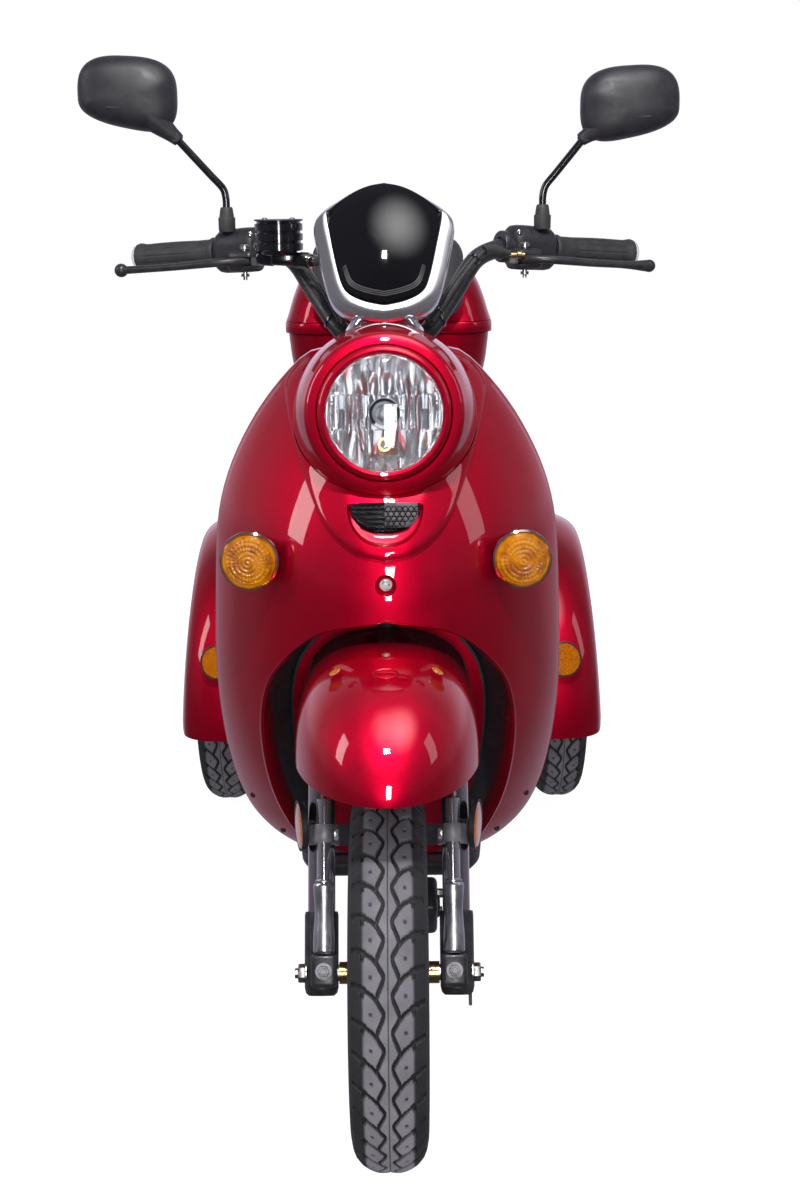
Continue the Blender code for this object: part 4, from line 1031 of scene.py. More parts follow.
def make_tyre(name, centre, body, node, columns):
    """A tyre with a cut tread, plain sidewalls with two raised lines, and beads on the rim."""
    crown = smooth_curve([(TYRE_RADIUS, 0.0), (0.2070, 0.010), (0.2047, 0.019), (0.1992, 0.0285),
                          (0.1915, 0.0355)], 49)
    wall = smooth_curve([(0.1915, 0.0355), (0.1820, 0.0392), (0.1700, TYRE_HALF_WIDTH), (0.1560, 0.0372),
                         (0.1420, 0.0318), (0.1370, 0.0298), (0.1300, 0.0292), (0.1285, 0.0285)], 26)
    for row in wall:
        for line in (0.1530, 0.1750):
            row[1] += 0.0005 if abs(row[0] - line) < 0.0012 else 0.0
    half = [tuple(row) for row in crown] + [tuple(row) for row in wall[1:]]
    half += [(0.1286, 0.0225), (0.1700, 0.0325), (0.1985, 0.0)]
    profile = half + [(radius, -across) for radius, across in half[-2:0:-1]]
    points, faces = turned(profile, centre, X_AXIS, columns, ring=True)
    side, other = cross_frame(X_AXIS)
    cut = [Vector(point) for point in points]
    # Per-point tone for the tyre material, full on the tread face and none in the grooves. It is partly dust and
    # wear, partly a painted reflection on the tread face and painted shade in the grooves.
    wear = 0.75 if body == "front_wheel" else 0.40
    dust_and_painted_sheen = {}
    for j, (radius, across) in enumerate(profile):
        if radius < 0.1905 or abs(across) > 0.0365 or (across == 0 and radius < 0.2):
            continue
        grooves = tread_grooves(across)
        worn = 1.0 - min(1.0, max(0.0, (abs(across) - 0.0235) / 0.0025))
        for k in range(columns):
            turn = 2 * math.pi * k / columns
            depth = 0.0
            for phase, half_width, full in grooves:
                away = abs((turn / TREAD_PITCH - phase + 0.5) % 1.0 - 0.5)
                depth = max(depth, full * min(1.0, max(0.0, (1.35 * half_width - away) / (0.6 * half_width))))
            spoke = side * math.cos(turn) + other * math.sin(turn)
            index = k * len(profile) + j
            cut[index] = cut[index] - spoke * depth
            dust_and_painted_sheen[tuple(round(value, 5) for value in cut[index])] = wear * worn * max(0.0, 1 - depth / 0.0016)
    made = piece(name, (cut, faces), "tyre_rubber", body, (node,), smooth=28)
    dust_and_sheen_tone = made.data.attributes.new("dust_and_painted_sheen", "FLOAT", "POINT")
    for vertex in made.data.vertices:
        dust_and_sheen_tone.data[vertex.index].value = dust_and_painted_sheen.get(tuple(round(value, 5) for value in vertex.co), 0.0)
    return made


def make_front_rim():
    barrel = [(0.1362, -0.0332), (0.1362, -0.0308), (0.1330, -0.0300), (0.1295, -0.0280),
              (RIM_RADIUS, -0.0255), (0.1180, -0.0160), (0.1150, 0.0), (0.1180, 0.0160), (RIM_RADIUS, 0.0255),
              (0.1295, 0.0280), (0.1330, 0.0300), (0.1362, 0.0308), (0.1362, 0.0332), (0.1325, 0.0336),
              (0.1270, 0.0312), (0.1235, 0.0255), (0.1140, 0.0150), (0.1110, 0.0), (0.1140, -0.0150),
              (0.1235, -0.0255), (0.1270, -0.0312), (0.1325, -0.0336)]
    return barrel


def make_wheels():
    places = {"front": (FRONT_AXLE, "front_wheel", "")}
    for side in SIDES:
        places[f"rear_{side}"] = (joint_point(f"rear_wheel_{side}_spin"), f"rear_wheel_{side}", f"_{side}")
    for label, (centre, body, ending) in places.items():
        end = label.split("_")[0]
        columns = 720
        make_tyre(f"{label}_tyre_treaded", centre, body, f"{end}_tyre{ending}", columns)
        hub = [(0.0105, -0.035), (0.022, -0.0350), (0.0235, -0.0335), (0.030, -0.0150), (0.036, -0.0060),
               (0.036, 0.0060), (0.030, 0.0150), (0.0235, 0.0335), (0.022, 0.0350), (0.0105, 0.035)]
        solids = [turned(make_front_rim(), centre, X_AXIS, 96, ring=True),
                  turned(hub, centre, X_AXIS, 48, ring=True)]
        for k in range(5):
            turn = 2 * math.pi * k / 5
            outward = Vector((0, math.cos(turn), math.sin(turn)))
            lateral = X_AXIS.cross(outward)
            rings = []
            for radius, half_width, half_thick in ((0.030, 0.017, 0.0062), (0.060, 0.0115, 0.0050),
                                                   (0.095, 0.0125, 0.0055), (0.1145, 0.020, 0.0080)):
                ring = [centre + outward * radius + lateral * x + X_AXIS * y
                        for x, y in rounded_rectangle(half_width, half_thick, 0.0045, 5)]
                rings.append(ring)
            solids.append(loft(rings))
        piece(f"{label}_rim_spoked", merged(*solids), "aluminium", body, (f"{end}_rim{ending}",), smooth=40)
        valve = centre + Vector((0, 0.030, 0.112))
        piece(f"{label}_valve", tube([valve + X_AXIS * 0.004, valve + Vector((0.014, -0.004, -0.012)),
                                      valve + Vector((0.026, -0.006, -0.018))], [0.0042, 0.0036, 0.0030], 16),
              "black_rubber", body)
    disc_profile = [(0.062, 0.0330), (0.0938, 0.0330), (0.0942, 0.0334), (0.0942, 0.0364), (0.0938, 0.0368),
                    (0.062, 0.0368)]
    holes = []
    for ring_index, radius in enumerate((0.070, 0.079, 0.087)):
        for k in range(12):
            turn = 2 * math.pi * (k + ring_index / 3) / 12
            place = FRONT_AXLE + Vector((0, math.cos(turn), math.sin(turn))) * radius
            holes.append(tube([place + X_AXIS * 0.030, place + X_AXIS * 0.040], 0.0028, 16))
    piece("brake_disc", turned(disc_profile, FRONT_AXLE, X_AXIS, 120, ring=True), "zinc", "front_wheel", (),
          (merged(*holes),))
    carrier = [turned([(0.024, 0.0332), (0.034, 0.0332), (0.034, 0.0366), (0.024, 0.0366)], FRONT_AXLE,
                      X_AXIS, 48, ring=True)]
    for k in range(5):
        turn = 2 * math.pi * (k + 0.5) / 5
        outward = Vector((0, math.cos(turn), math.sin(turn)))
        carrier.append(block(FRONT_AXLE + outward * 0.048 + X_AXIS * 0.0349, (0.0030, 0.012, 0.034),
                             Matrix.Rotation(turn - math.pi / 2, 3, "X"), 0.0008))
        bolt = FRONT_AXLE + outward * 0.029 + X_AXIS * 0.0366
        carrier.append(turned([(0, 0.0028), (0.0034, 0.0028), (0.0040, 0.0), (0.0, 0.0)], bolt, X_AXIS, 20))
    piece("disc_carrier", merged(*carrier), "black_metal", "front_wheel")


# ---------------------------------------------------------------- front fork and fender
FENDER_RIM_Z = 0.452


def fender_section(behind):
    """Half the width, the height and the roundness of the front fender at a place along it."""
    nose, tail = -0.145, 0.172
    share = (behind - nose) / (tail - nose)
    swell = min(1.0, share / 0.55)
    size = max(math.sqrt(max(1 - (1 - swell) ** 2, 0.0)), 0.02)
    height = (0.112 - 0.012 * max(0.0, share - 0.6) / 0.4) * size ** 1.15
    return 0.0990 * size, height, 2.35 + 0.25 * share


def front_fender_grid(columns, rows):
    """A round hood over the tyre, open below and behind."""
    grid = []
    for j in range(rows):
        behind = -0.145 + 0.317 * (j / (rows - 1)) ** 1.5
        half_width, height, roundness = fender_section(behind)
        section = []
        for i in range(columns):
            turn = math.pi * i / (columns - 1)
            x = -math.copysign(abs(math.cos(turn)) ** (2 / roundness), math.cos(turn)) * half_width
            section.append(spot(x, behind, FENDER_RIM_Z + height * abs(math.sin(turn)) ** (2 / roundness)))
        grid.append(section)
    return [[grid[j][i] for j in range(rows)] for i in range(columns)]


def on_fender(x, behind):
    """A place on the front fender, and the directions out of it, across it and up it."""
    def top(x, behind):
        half_width, height, roundness = fender_section(behind)
        return spot(x, behind, FENDER_RIM_Z + height * (1 - abs(x / half_width) ** roundness)
                    ** (1 / roundness))

    step = 0.001
    place = top(x, behind)
    across = (top(x + step, behind) - place).normalized()
    along = (top(x, behind + step) - place).normalized()
    return place, across.cross(along).normalized(), across, along


def make_front_fender():
    piece("front_fender_shell", shell(front_fender_grid(97, 72), 0.0028), "red_paint", "steering",
          ("front_fender",), smooth=50)
    place, out, across, along = on_fender(0, 0.014)
    screw = turned([(0, 0.0022), (0.0020, 0.0022), (0.0046, 0.0010), (0.0050, -0.002), (0, -0.002)], place,
                   out, 24)
    piece("fender_screw", screw, "zinc", "steering")

    def oval(x, behind, half_x, half_y, levels):
        place, out, across, along = on_fender(x, behind)
        rings = []
        for scale, lift in levels:
            turns = [2 * math.pi * k / 32 for k in range(32)]
            rings.append([place + across * math.cos(turn) * half_x * scale
                          + along * math.sin(turn) * half_y * scale + out * lift for turn in turns])
        return loft(rings)

    levels = ((1.0, -0.003), (1.0, 0.0006), (0.93, 0.0012), (0.82, 0.0006), (0.76, -0.0012))
    piece("fender_badge_recess", oval(0, -0.032, 0.0140, 0.0095, levels), "red_paint", "steering")
    for side, sign in SIDES.items():
        levels = ((1.0, -0.004), (1.0, 0.0002), (0.85, 0.0012), (0.5, 0.0019))
        piece(f"fender_marker_{side}", oval(sign * 0.0535, -0.004, 0.0065, 0.0062, levels), "amber_reflector",
              "steering")


def make_fork():
    tilt = Matrix.Rotation(-RAKE, 3, "X")
    crown = [block(on_fork(0, 0.2975, -0.012), (0.172, 0.062, 0.024), tilt, 0.008, 4),
             tube([on_steering_axis(0.300), on_steering_axis(0.727)], 0.0145, 40)]
    piece("crown_and_stem", merged(*crown), "black_metal", "steering", ("fork_crown",))
    for side, sign in SIDES.items():
        piece(f"stanchion_{side}", tube([on_fork(sign * LEG_X, 0.064), on_fork(sign * LEG_X, 0.306)], 0.0150,
                                        40), "leg_chrome", "steering")
        clamp_spot = 0.149
        band = [(0.0152, -0.011), (0.0195, -0.011), (0.0205, -0.009), (0.0205, 0.009), (0.0195, 0.011),
                (0.0152, 0.011)]
        clamp = turned(band, on_fork(sign * LEG_X, clamp_spot), STEER_UP, 40, ring=True)
        arm = block(on_fork(sign * 0.064, clamp_spot, 0.010), (0.020, 0.010, 0.014), tilt, 0.002)
        tab = block(on_fork(sign * 0.0895, clamp_spot + 0.006, 0.016), (0.006, 0.020, 0.022), tilt, 0.0015)
        clamp_screw = turned([(0, 0.0225), (0.0035, 0.0225), (0.0042, 0.020), (0.0042, 0.012), (0, 0.012)],
                             on_fork(sign * 0.060, clamp_spot), STEER_AHEAD, 6)
        rod_band = turned([(0.0080, -0.010), (0.0105, -0.010), (0.0112, -0.008), (0.0112, 0.008),
                           (0.0105, 0.010), (0.0080, 0.010)], on_fork(sign * 0.070, clamp_spot, 0.0335),
                          STEER_UP, 32, ring=True)
        piece(f"reflector_clamp_{side}", merged(clamp, arm, tab, rod_band), "dull_steel", "steering")
        piece(f"clamp_screw_{side}", clamp_screw, "zinc", "steering")
        place = on_fork(sign * 0.0955, clamp_spot + 0.010, 0.014)
        outward = Vector((sign, -0.22, 0)).normalized()
        piece(f"side_reflector_cup_{side}", turned([(0, -0.0035), (0.0262, -0.0035), (0.0275, -0.002),
                                                    (0.0280, 0.0035), (0.0262, 0.0035), (0.0262, 0.0005),
                                                    (0, 0.0005)], place, outward, 56), "black_plastic",
              "steering")
        piece(f"side_reflector_{side}", turned([(0, 0.0052), (0.014, 0.0049), (0.0240, 0.0038),
                                                (0.0259, 0.0022), (0.0259, 0.0006), (0, 0.0006)], place,
                                               outward, 56), "amber_reflector", "steering")
        make_fork_lower(side, sign, tilt)
    make_caliper()
    axle = [tube([on_fork(-0.103, 0), on_fork(0.103, 0)], 0.0055, 28),
            tube([on_fork(-0.0560, 0), on_fork(0.0560, 0)], 0.0089, 36)]
    piece("axle_rod", merged(*axle), "zinc", "front_suspension", ("front_axle",))
    for side, sign in SIDES.items():
        nut = turned([(0.0056, 0.0), (0.0098, 0.0), (0.0102, 0.001), (0.0102, 0.0068), (0.0096, 0.008),
                      (0.0056, 0.008)], on_fork(sign * 0.0915, 0), X_AXIS * sign, 6, ring=True)
        washer = turned([(0.0056, -0.0018), (0.0125, -0.0018), (0.0125, -0.0002), (0.0056, -0.0002)],
                        on_fork(sign * 0.0915, 0), X_AXIS * sign, 40, ring=True)
        piece(f"axle_nut_{side}", merged(nut, washer), "zinc", "front_suspension")
        spacer = turned([(0.0091, 0.0), (0.0120, 0.0), (0.0120, 0.0135), (0.0091, 0.0135)],
                        on_fork(sign * 0.0410, 0), X_AXIS * sign, 36, ring=True)
        piece(f"axle_spacer_{side}", spacer, "yellow_zinc", "front_suspension")


def make_fork_lower(side, sign, tilt):
    """The dropout casting with its lug, the spring sleeve ahead of the leg, and the damper rod."""
    boot = [(0.0160, 0.066), (0.0178, 0.066), (0.0186, 0.062), (0.0186, -0.015), (0.0172, -0.021),
            (0.0140, -0.024), (0.0, -0.024), (0.0, -0.0210), (0.0120, -0.0210), (0.0160, -0.012)]
    casting = turned(boot, on_fork(sign * LEG_X, 0), STEER_UP, 48)
    lug = block(on_fork(sign * 0.070, 0.003, 0.024), (0.028, 0.032, 0.036), tilt, 0.005, 3)
    ear = block(on_fork(sign * 0.070, 0.020, 0.026), (0.020, 0.020, 0.012), tilt, 0.003, 3)
    piece(f"dropout_{side}", merged(casting, lug, ear), "black_metal", "front_suspension",
          (f"fork_lower_{side}",))
    upright = on_fork(sign * 0.070, 0, 0.0335)
    sleeve = smooth_curve([(0.0116, 0.0235), (0.0114, 0.040), (0.0102, 0.060), (0.0101, 0.072),
                           (0.0113, 0.086), (0.0117, 0.0930)], 24)
    sleeve = [(0.0, 0.022), (0.0105, 0.022)] + [tuple(row) for row in sleeve] + [(0.0107, 0.0952),
                                                                                 (0.0, 0.0958)]
    piece(f"damper_sleeve_{side}", turned(sleeve, upright, STEER_UP, 48), "aluminium", "front_suspension")
    piece(f"damper_rod_{side}", tube([upright + STEER_UP * 0.094, upright + STEER_UP * 0.186], 0.0078, 32),
          "bright_trim", "steering")
    piece(f"damper_collar_{side}", turned([(0.0080, 0.0960), (0.0094, 0.0960), (0.0098, 0.0975),
                                           (0.0094, 0.0990), (0.0080, 0.0995)], upright, STEER_UP, 36,
                                          ring=True), "aluminium", "front_suspension")
    bolt_place = on_fork(sign * 0.070, 0.0025, 0.0400)
    forward = STEER_AHEAD
    head = turned([(0, 0.0068), (0.0056, 0.0068), (0.0062, 0.0058), (0.0062, 0.0), (0, 0.0)], bolt_place,
                  forward, 6)
    stud = turned([(0, 0.0096), (0.0030, 0.0096), (0.0034, 0.0088), (0.0034, 0.006), (0, 0.006)], bolt_place,
                  forward, 20)
    washer = turned([(0, 0.0012), (0.0088, 0.0012), (0.0092, 0.0004), (0.0092, -0.001), (0, -0.001)],
                    bolt_place, forward, 36)
    piece(f"damper_bolt_{side}", merged(head, stud, washer), "dull_steel", "front_suspension")


def make_caliper():
    swing = Matrix.Rotation(math.radians(35), 3, "X")
    centre = FRONT_AXLE + swing @ Vector((0.0388, 0.084, 0))
    slot = block(centre + swing @ Vector((-0.0038, -0.012, 0)), (0.0056, 0.044, 0.070), swing)
    body = block(centre, (0.030, 0.044, 0.056), swing, 0.006, 3)
    piece("caliper_body", body, "black_metal", "front_suspension", ("brake_caliper",), (slot,), smooth=40)
    details = []
    for shift in (-0.019, 0.019):
        details.append(turned([(0, 0.0062), (0.0046, 0.0062), (0.0052, 0.0050), (0.0052, 0.0), (0, 0.0)],
                              centre + swing @ Vector((0.0150, 0.004, shift)), X_AXIS, 6))
    piece("caliper_bolts", merged(*details), "zinc", "front_suspension")
    cup = turned([(0, 0.0030), (0.0120, 0.0030), (0.0135, 0.0015), (0.0138, 0.0), (0, 0.0)],
                 centre + swing @ Vector((0.0150, 0, 0)), X_AXIS, 36)
    piece("caliper_cup", cup, "black_metal", "front_suspension")
    fin = [(0.0, 0.0), (0.020, 0.004), (0.026, -0.014), (0.008, -0.030), (-0.006, -0.024)]
    fin_points = []
    for shift in (-0.0016, 0.0016):
        fin_points.append([FRONT_AXLE + Vector((0.088 + shift, -0.010 + y, -0.008 + z)) for y, z in fin])
    piece("caliper_fin", loft(fin_points), "black_metal", "front_suspension")


# ---------------------------------------------------------------- handlebar and controls
def on_side(side, x, behind, z):
    return spot(SIDES[side] * x, behind, z)


GRIP_START = {side: on_side(side, 0.209, 0.475, 0.965) for side in SIDES}
GRIP_END = {side: on_side(side, 0.322, 0.528, 0.957) for side in SIDES}
LEVER_PIVOT = {side: joint_point(f"brake_lever_{side}_pull") for side in SIDES}
MIRROR_BASE = {side: on_side(side, 0.196, 0.452, 1.000) for side in SIDES}
MIRROR_BALL = {side: joint_point(f"mirror_head_{side}_tilt") for side in SIDES}
MIRROR_CENTRE = {"right": spot(-0.313, 0.452, 1.153), "left": spot(0.302, 0.452, 1.137)}


def handlebar_path():
    straight = (GRIP_END["left"] - GRIP_START["left"]).normalized()
    half = [spot(0.0, 0.336, 0.866), spot(0.028, 0.337, 0.867), spot(0.051, 0.343, 0.874),
            spot(0.084, 0.381, 0.917), spot(0.112, 0.418, 0.955), GRIP_START["left"] - straight * 0.070]
    curve = [Vector(p) for p in smooth_curve(half, 48)] + [GRIP_END["left"]]
    mirrored = [Vector((-p.x, p.y, p.z)) for p in reversed(curve[1:])]
    return mirrored + curve


def make_bar_and_cables():
    piece("handlebar_tube", tube(handlebar_path(), 0.0112, 36), "black_metal", "steering", ("handlebar",))
    hose = smooth_curve([spot(-0.0820, 0.3650, 0.9565), spot(-0.070, 0.358, 0.950),
                         spot(-0.060, 0.350, 0.925), spot(-0.052, 0.318, 0.898), spot(-0.048, 0.302, 0.886)],
                        48)
    piece("brake_hose_run", tube(hose, 0.0034, 18), "black_rubber", "steering", ("brake_hose",))
    ferrule = [Vector(p) for p in hose[4:20]]
    piece("hose_ferrule", tube(ferrule, [0.0044] * 5 + [0.0050] * 11, 24), "zinc", "steering")
    banjo = turned([(0, 0.008), (0.0040, 0.008), (0.0060, 0.006), (0.0066, 0.0), (0.0060, -0.006),
                    (0, -0.007)], spot(-0.0815, 0.3650, 0.957), Vector((1, -0.35, 0)), 28)
    washer = turned([(0.0, -0.0095), (0.0085, -0.0095), (0.0085, -0.0075), (0, -0.0075)],
                    spot(-0.0815, 0.3650, 0.957), Vector((1, -0.35, 0)), 32)
    piece("banjo_bolt", banjo, "zinc", "steering")
    piece("banjo_washer", washer, "yellow_zinc", "steering")
    cables = smooth_curve([spot(0.150, 0.400, 0.962), spot(0.120, 0.385, 0.966), spot(0.088, 0.354, 0.934),
                           spot(0.060, 0.316, 0.896), spot(0.052, 0.305, 0.887)], 48)
    cables = [Vector(p) for p in cables]
    strands = []
    for k in range(3):
        turn = 2 * math.pi * k / 3 + 0.5
        shift = Vector((0.0032 * math.cos(turn), -0.0026 * math.sin(turn), 0.0030 * math.sin(turn)))
        strands.append(tube([p + shift for p in cables], 0.0026 if k else 0.0031, 14))
    piece("cable_strands", merged(*strands), "black_rubber", "steering", ("cable_bundle",))
    ties = []
    for index in (16, 34):
        along = (cables[index + 1] - cables[index - 1]).normalized()
        ties.append(turned([(0.0070, -0.0014), (0.0076, -0.0014), (0.0078, 0.0), (0.0076, 0.0014),
                            (0.0070, 0.0014)], cables[index], along, 24, ring=True))
    piece("cable_ties", merged(*ties), "gloss_black", "steering")
    bar = handlebar_path()
    wraps = []
    for index in (len(bar) // 2 + 22, len(bar) // 2 - 22):
        along = (bar[index + 1] - bar[index - 1]).normalized()
        wraps.append(turned([(0.0114, -0.0020), (0.0124, -0.0020), (0.0126, 0.0), (0.0124, 0.0020),
                             (0.0114, 0.0020)], bar[index], along, 36, ring=True))
    piece("bar_ties", merged(*wraps), "gloss_black", "steering")
    sleeve = [cables[k] + Vector((0.001, -0.004, 0.001)) for k in range(3, 13)]
    piece("cable_sleeve", tube(sleeve, 0.0056, 20), "black_rubber", "steering")
    wire = smooth_curve([spot(-0.108, 0.372, 0.950), spot(-0.094, 0.362, 0.947), spot(-0.080, 0.362, 0.930),
                         spot(-0.064, 0.340, 0.905), spot(-0.054, 0.318, 0.887)], 40)
    piece("switch_wire", tube(wire, 0.0019, 12), "black_rubber", "steering")
    adjuster = [(0, -0.013), (0.0016, -0.013), (0.0020, -0.004), (0.0034, -0.004), (0.0036, 0.0),
                (0.0034, 0.004), (0.0050, 0.005), (0.0050, 0.009), (0.0030, 0.010), (0.0030, 0.014),
                (0, 0.014)]
    piece("cable_adjuster", turned(adjuster, spot(0.157, 0.4035, 0.9600), Vector((1, 0.14, 0)), 28),
          "yellow_zinc", "steering")


def make_grip(side):
    start, end = GRIP_START[side], GRIP_END[side]
    along = (end - start).normalized()
    profile = [(0.0118, 0.002), (0.0172, 0.002), (0.0182, 0.004), (0.0182, 0.007), (0.0170, 0.009),
               (0.0162, 0.012), (0.0158, 0.030)]
    profile += [(0.0160 + 0.0006 * math.sin(math.pi * k / 12), 0.034 + 0.070 * k / 12) for k in range(13)]
    profile += [(0.0162, 0.108), (0.0172, 0.1125), (0.0176, 0.115), (0.0170, 0.1178), (0.0118, 0.118)]
    sides = 96
    points, faces = turned(profile, start, along, sides, ring=True)
    count = len(profile)
    for k in range(sides):
        for j, (radius, reach) in enumerate(profile):
            if 0.033 < reach < 0.106 and k % 8 in (0, 1) and radius > 0.015:
                axis_point = start + along * reach
                points[k * count + j] = axis_point + (points[k * count + j] - axis_point) * 0.945
    name = "throttle_grip" if side == "right" else "grip_left"
    body = "throttle" if side == "right" else "steering"
    piece(f"{name}_rubber", (points, faces), "black_rubber", body, (name,), smooth=40)
    cap = [(0.0, 0.1270), (0.0060, 0.1266), (0.0110, 0.1252), (0.0150, 0.1225), (0.0166, 0.1195),
           (0.0168, 0.1180), (0.0118, 0.1180), (0.0, 0.1185)]
    piece(f"{name}_cap", turned(cap, start, along, 48), "pale_cap", body)


def make_switches(side):
    sign = SIDES[side]
    start, end = GRIP_START[side], GRIP_END[side]
    along = (end - start).normalized()
    other = Z_AXIS.cross(along).normalized()
    rings = []
    for reach, half_y, half_z in ((-0.0605, 0.0150, 0.0190), (-0.0595, 0.0190, 0.0232),
                                  (-0.0560, 0.0218, 0.0262), (-0.0500, 0.0226, 0.0272),
                                  (-0.0420, 0.0228, 0.0275), (-0.0120, 0.0224, 0.0268),
                                  (-0.0060, 0.0212, 0.0256), (-0.0025, 0.0188, 0.0230),
                                  (-0.0010, 0.0150, 0.0192)):
        centre = start + along * reach
        rings.append([centre + other * x + Z_AXIS * y for x, y in rounded_rectangle(half_y, half_z,
                                                                                    half_y * 0.92, 10)])
    seam = [start + along * -0.0400, start + along * -0.0385]
    groove = merged(turned([(0.0255, 0.0), (0.0500, 0.0), (0.0500, 0.0012), (0.0255, 0.0012)], seam[0], along,
                           60, ring=True))
    bore = tube([start - along * 0.075, start + along * 0.01], 0.0116, 40)
    screw_holes = []
    screws = []
    for lift in (0.0190, -0.0190):
        place = start - along * 0.0470 + Z_AXIS * lift
        forward = Vector((0, -1, 0))
        screw_holes.append(turned([(0, 0.05), (0.0042, 0.05), (0.0042, 0.014), (0, 0.014)], place, forward,
                                  28))
        screws.append(turned([(0, 0.0160), (0.0014, 0.0166), (0.0030, 0.0160), (0.0032, 0.0140), (0, 0.0140)],
                             place, forward, 24))
    piece(f"switch_case_{side}", loft(rings), "black_plastic", "steering", (f"switch_housing_{side}",),
          (bore, merged(*screw_holes), groove), smooth=38)
    piece(f"switch_screws_{side}", merged(*screws), "zinc", "steering")
    turn = Matrix.Rotation(math.atan2(along.y * sign, along.x * sign), 3, "Z")
    pivot = LEVER_PIVOT[side]
    perch = block(pivot + Vector((0, 0.012, 0)), (0.036, 0.038, 0.026), turn, 0.007, 3)
    slot = block(pivot + Vector((sign * 0.012, -0.010, 0)), (0.074, 0.036, 0.0115))
    clamp_band = turned([(0.0118, -0.008), (0.0185, -0.008), (0.0195, -0.006), (0.0195, 0.006),
                         (0.0185, 0.008), (0.0118, 0.008)], start - along * 0.0660, along, 44, ring=True)
    piece(f"lever_perch_{side}", perch, "black_metal", "steering", (), (slot, bore))
    piece(f"bar_clamp_{side}", clamp_band, "black_metal", "steering")
    bolt = [(0, 0.0205), (0.0044, 0.0205), (0.0060, 0.0190), (0.0060, 0.0150), (0.0030, 0.0148),
            (0.0030, -0.0150), (0.0052, -0.0150), (0.0052, -0.0185), (0.0026, -0.0188), (0.0026, -0.0225),
            (0, -0.0225)]
    piece(f"pivot_bolt_{side}", turned(bolt, pivot, Z_AXIS, 24), "zinc", "steering")


def make_lever(side):
    sign = SIDES[side]
    pivot = LEVER_PIVOT[side]
    lever = [pivot + Vector((sign * x, y, z)) for x, y, z in
             ((-0.004, -0.004, 0), (0.018, -0.012, 0), (0.045, -0.010, -0.002), (0.085, 0.006, -0.006),
              (0.125, 0.022, -0.009), (0.158, 0.034, -0.011))]
    wide = [0.0052, 0.0056, 0.0062, 0.0060, 0.0058, 0.0060 if side == "right" else 0.0076]
    tall = [0.0052, 0.0052, 0.0050, 0.0046, 0.0046, 0.0050 if side == "right" else 0.0076]
    path = smooth_curve([(*p, w, t) for p, w, t in zip(lever, wide, tall)], 56)
    rings = []
    for index, row in enumerate(path):
        low, high = path[max(index - 1, 0)], path[min(index + 1, len(path) - 1)]
        ahead = Vector(high[:3] - low[:3]).normalized()
        side_way = ahead.cross(Z_AXIS).normalized()
        up_way = side_way.cross(ahead)
        rings.append([Vector(row[:3]) + side_way * math.cos(2 * math.pi * k / 24) * row[3]
                      + up_way * math.sin(2 * math.pi * k / 24) * row[4] for k in range(24)])
    tip = lever[-1]
    if side == "right":
        knob = [(0.0085 * math.sin(math.pi * k / 20), -0.0085 * math.cos(math.pi * k / 20))
                for k in range(21)]
    else:
        knob = [(0.0078 * math.sin(math.pi * k / 20), -0.0080 * math.cos(math.pi * k / 20))
                for k in range(21)]
    knob[0], knob[-1] = (0.0, knob[0][1]), (0.0, knob[-1][1])
    boss = turned([(0, 0.0054), (0.0070, 0.0054), (0.0076, 0.0048), (0.0076, -0.0048), (0.0070, -0.0054),
                   (0, -0.0054)], pivot, Z_AXIS, 32)
    piece(f"lever_blade_{side}", merged(loft(rings), turned(knob, tip, X_AXIS, 32), boss), "black_metal",
          f"brake_lever_{side}", (f"brake_lever_{side}",), smooth=50)


def make_master_cylinder():
    reservoir = spot(-0.1265, 0.372, 0.987)
    stack = [(0.0, -0.0240), (0.0170, -0.0240), (0.0205, -0.0225), (0.0215, -0.0190)]
    for k in range(3):
        low = -0.0180 + 0.0115 * k
        stack += [(0.0262, low), (0.0286, low + 0.0008), (0.0289, low + 0.0082), (0.0279, low + 0.0090),
                  (0.0262, low + 0.0092), (0.0262, low + 0.0112)]
    stack += [(0.0274, 0.0165), (0.0283, 0.0170), (0.0283, 0.0184), (0.0274, 0.0190), (0.0, 0.0190)]
    barrel_axis = (spot(-0.084, 0.366, 0.957) - spot(-0.152, 0.390, 0.961)).normalized()
    barrel = [(0, 0.0), (0.0092, 0.0), (0.0098, 0.002), (0.0098, 0.018), (0.0086, 0.020), (0.0086, 0.0540),
              (0.0094, 0.0550), (0.0094, 0.0640), (0.0080, 0.0660), (0.0070, 0.0720), (0, 0.0720)]
    foot = block(spot(-0.1215, 0.374, 0.961), (0.030, 0.022, 0.018), None, 0.004)
    piece("brake_reservoir", merged(turned(stack, reservoir, Z_AXIS, 72),
                                    turned(barrel, spot(-0.152, 0.390, 0.961), barrel_axis, 40), foot),
          "gloss_black", "steering", ("master_cylinder",))
    screws = []
    for sign in (-1, 1):
        screws.append(turned([(0, 0.0206), (0.0018, 0.0208), (0.0034, 0.0200), (0.0034, 0.0188), (0, 0.0188)],
                             reservoir + X_AXIS * sign * 0.0165, Z_AXIS, 20))
    piece("reservoir_screws", merged(*screws), "zinc", "steering")
    piece("reservoir_rim", turned([(0.0284, 0.0168), (0.0291, 0.0172), (0.0291, 0.0184), (0.0284, 0.0188)],
                                  reservoir, Z_AXIS, 72, ring=True), "black_metal", "steering")


def make_handlebar():
    make_bar_and_cables()
    for side in SIDES:
        make_grip(side)
        make_switches(side)
        make_lever(side)
    make_master_cylinder()
    horn_axis = Vector((-0.42, 0.90, 0)).normalized()
    horn = box_centre("horn_button") - horn_axis * 0.003
    piece("horn_cap", turned([(0, 0.0066), (0.0040, 0.0064), (0.0058, 0.0052), (0.0065, 0.0036), (0.0065, 0),
                              (0, 0)], horn, horn_axis, 32), "gloss_black", "horn", ("horn_button",))


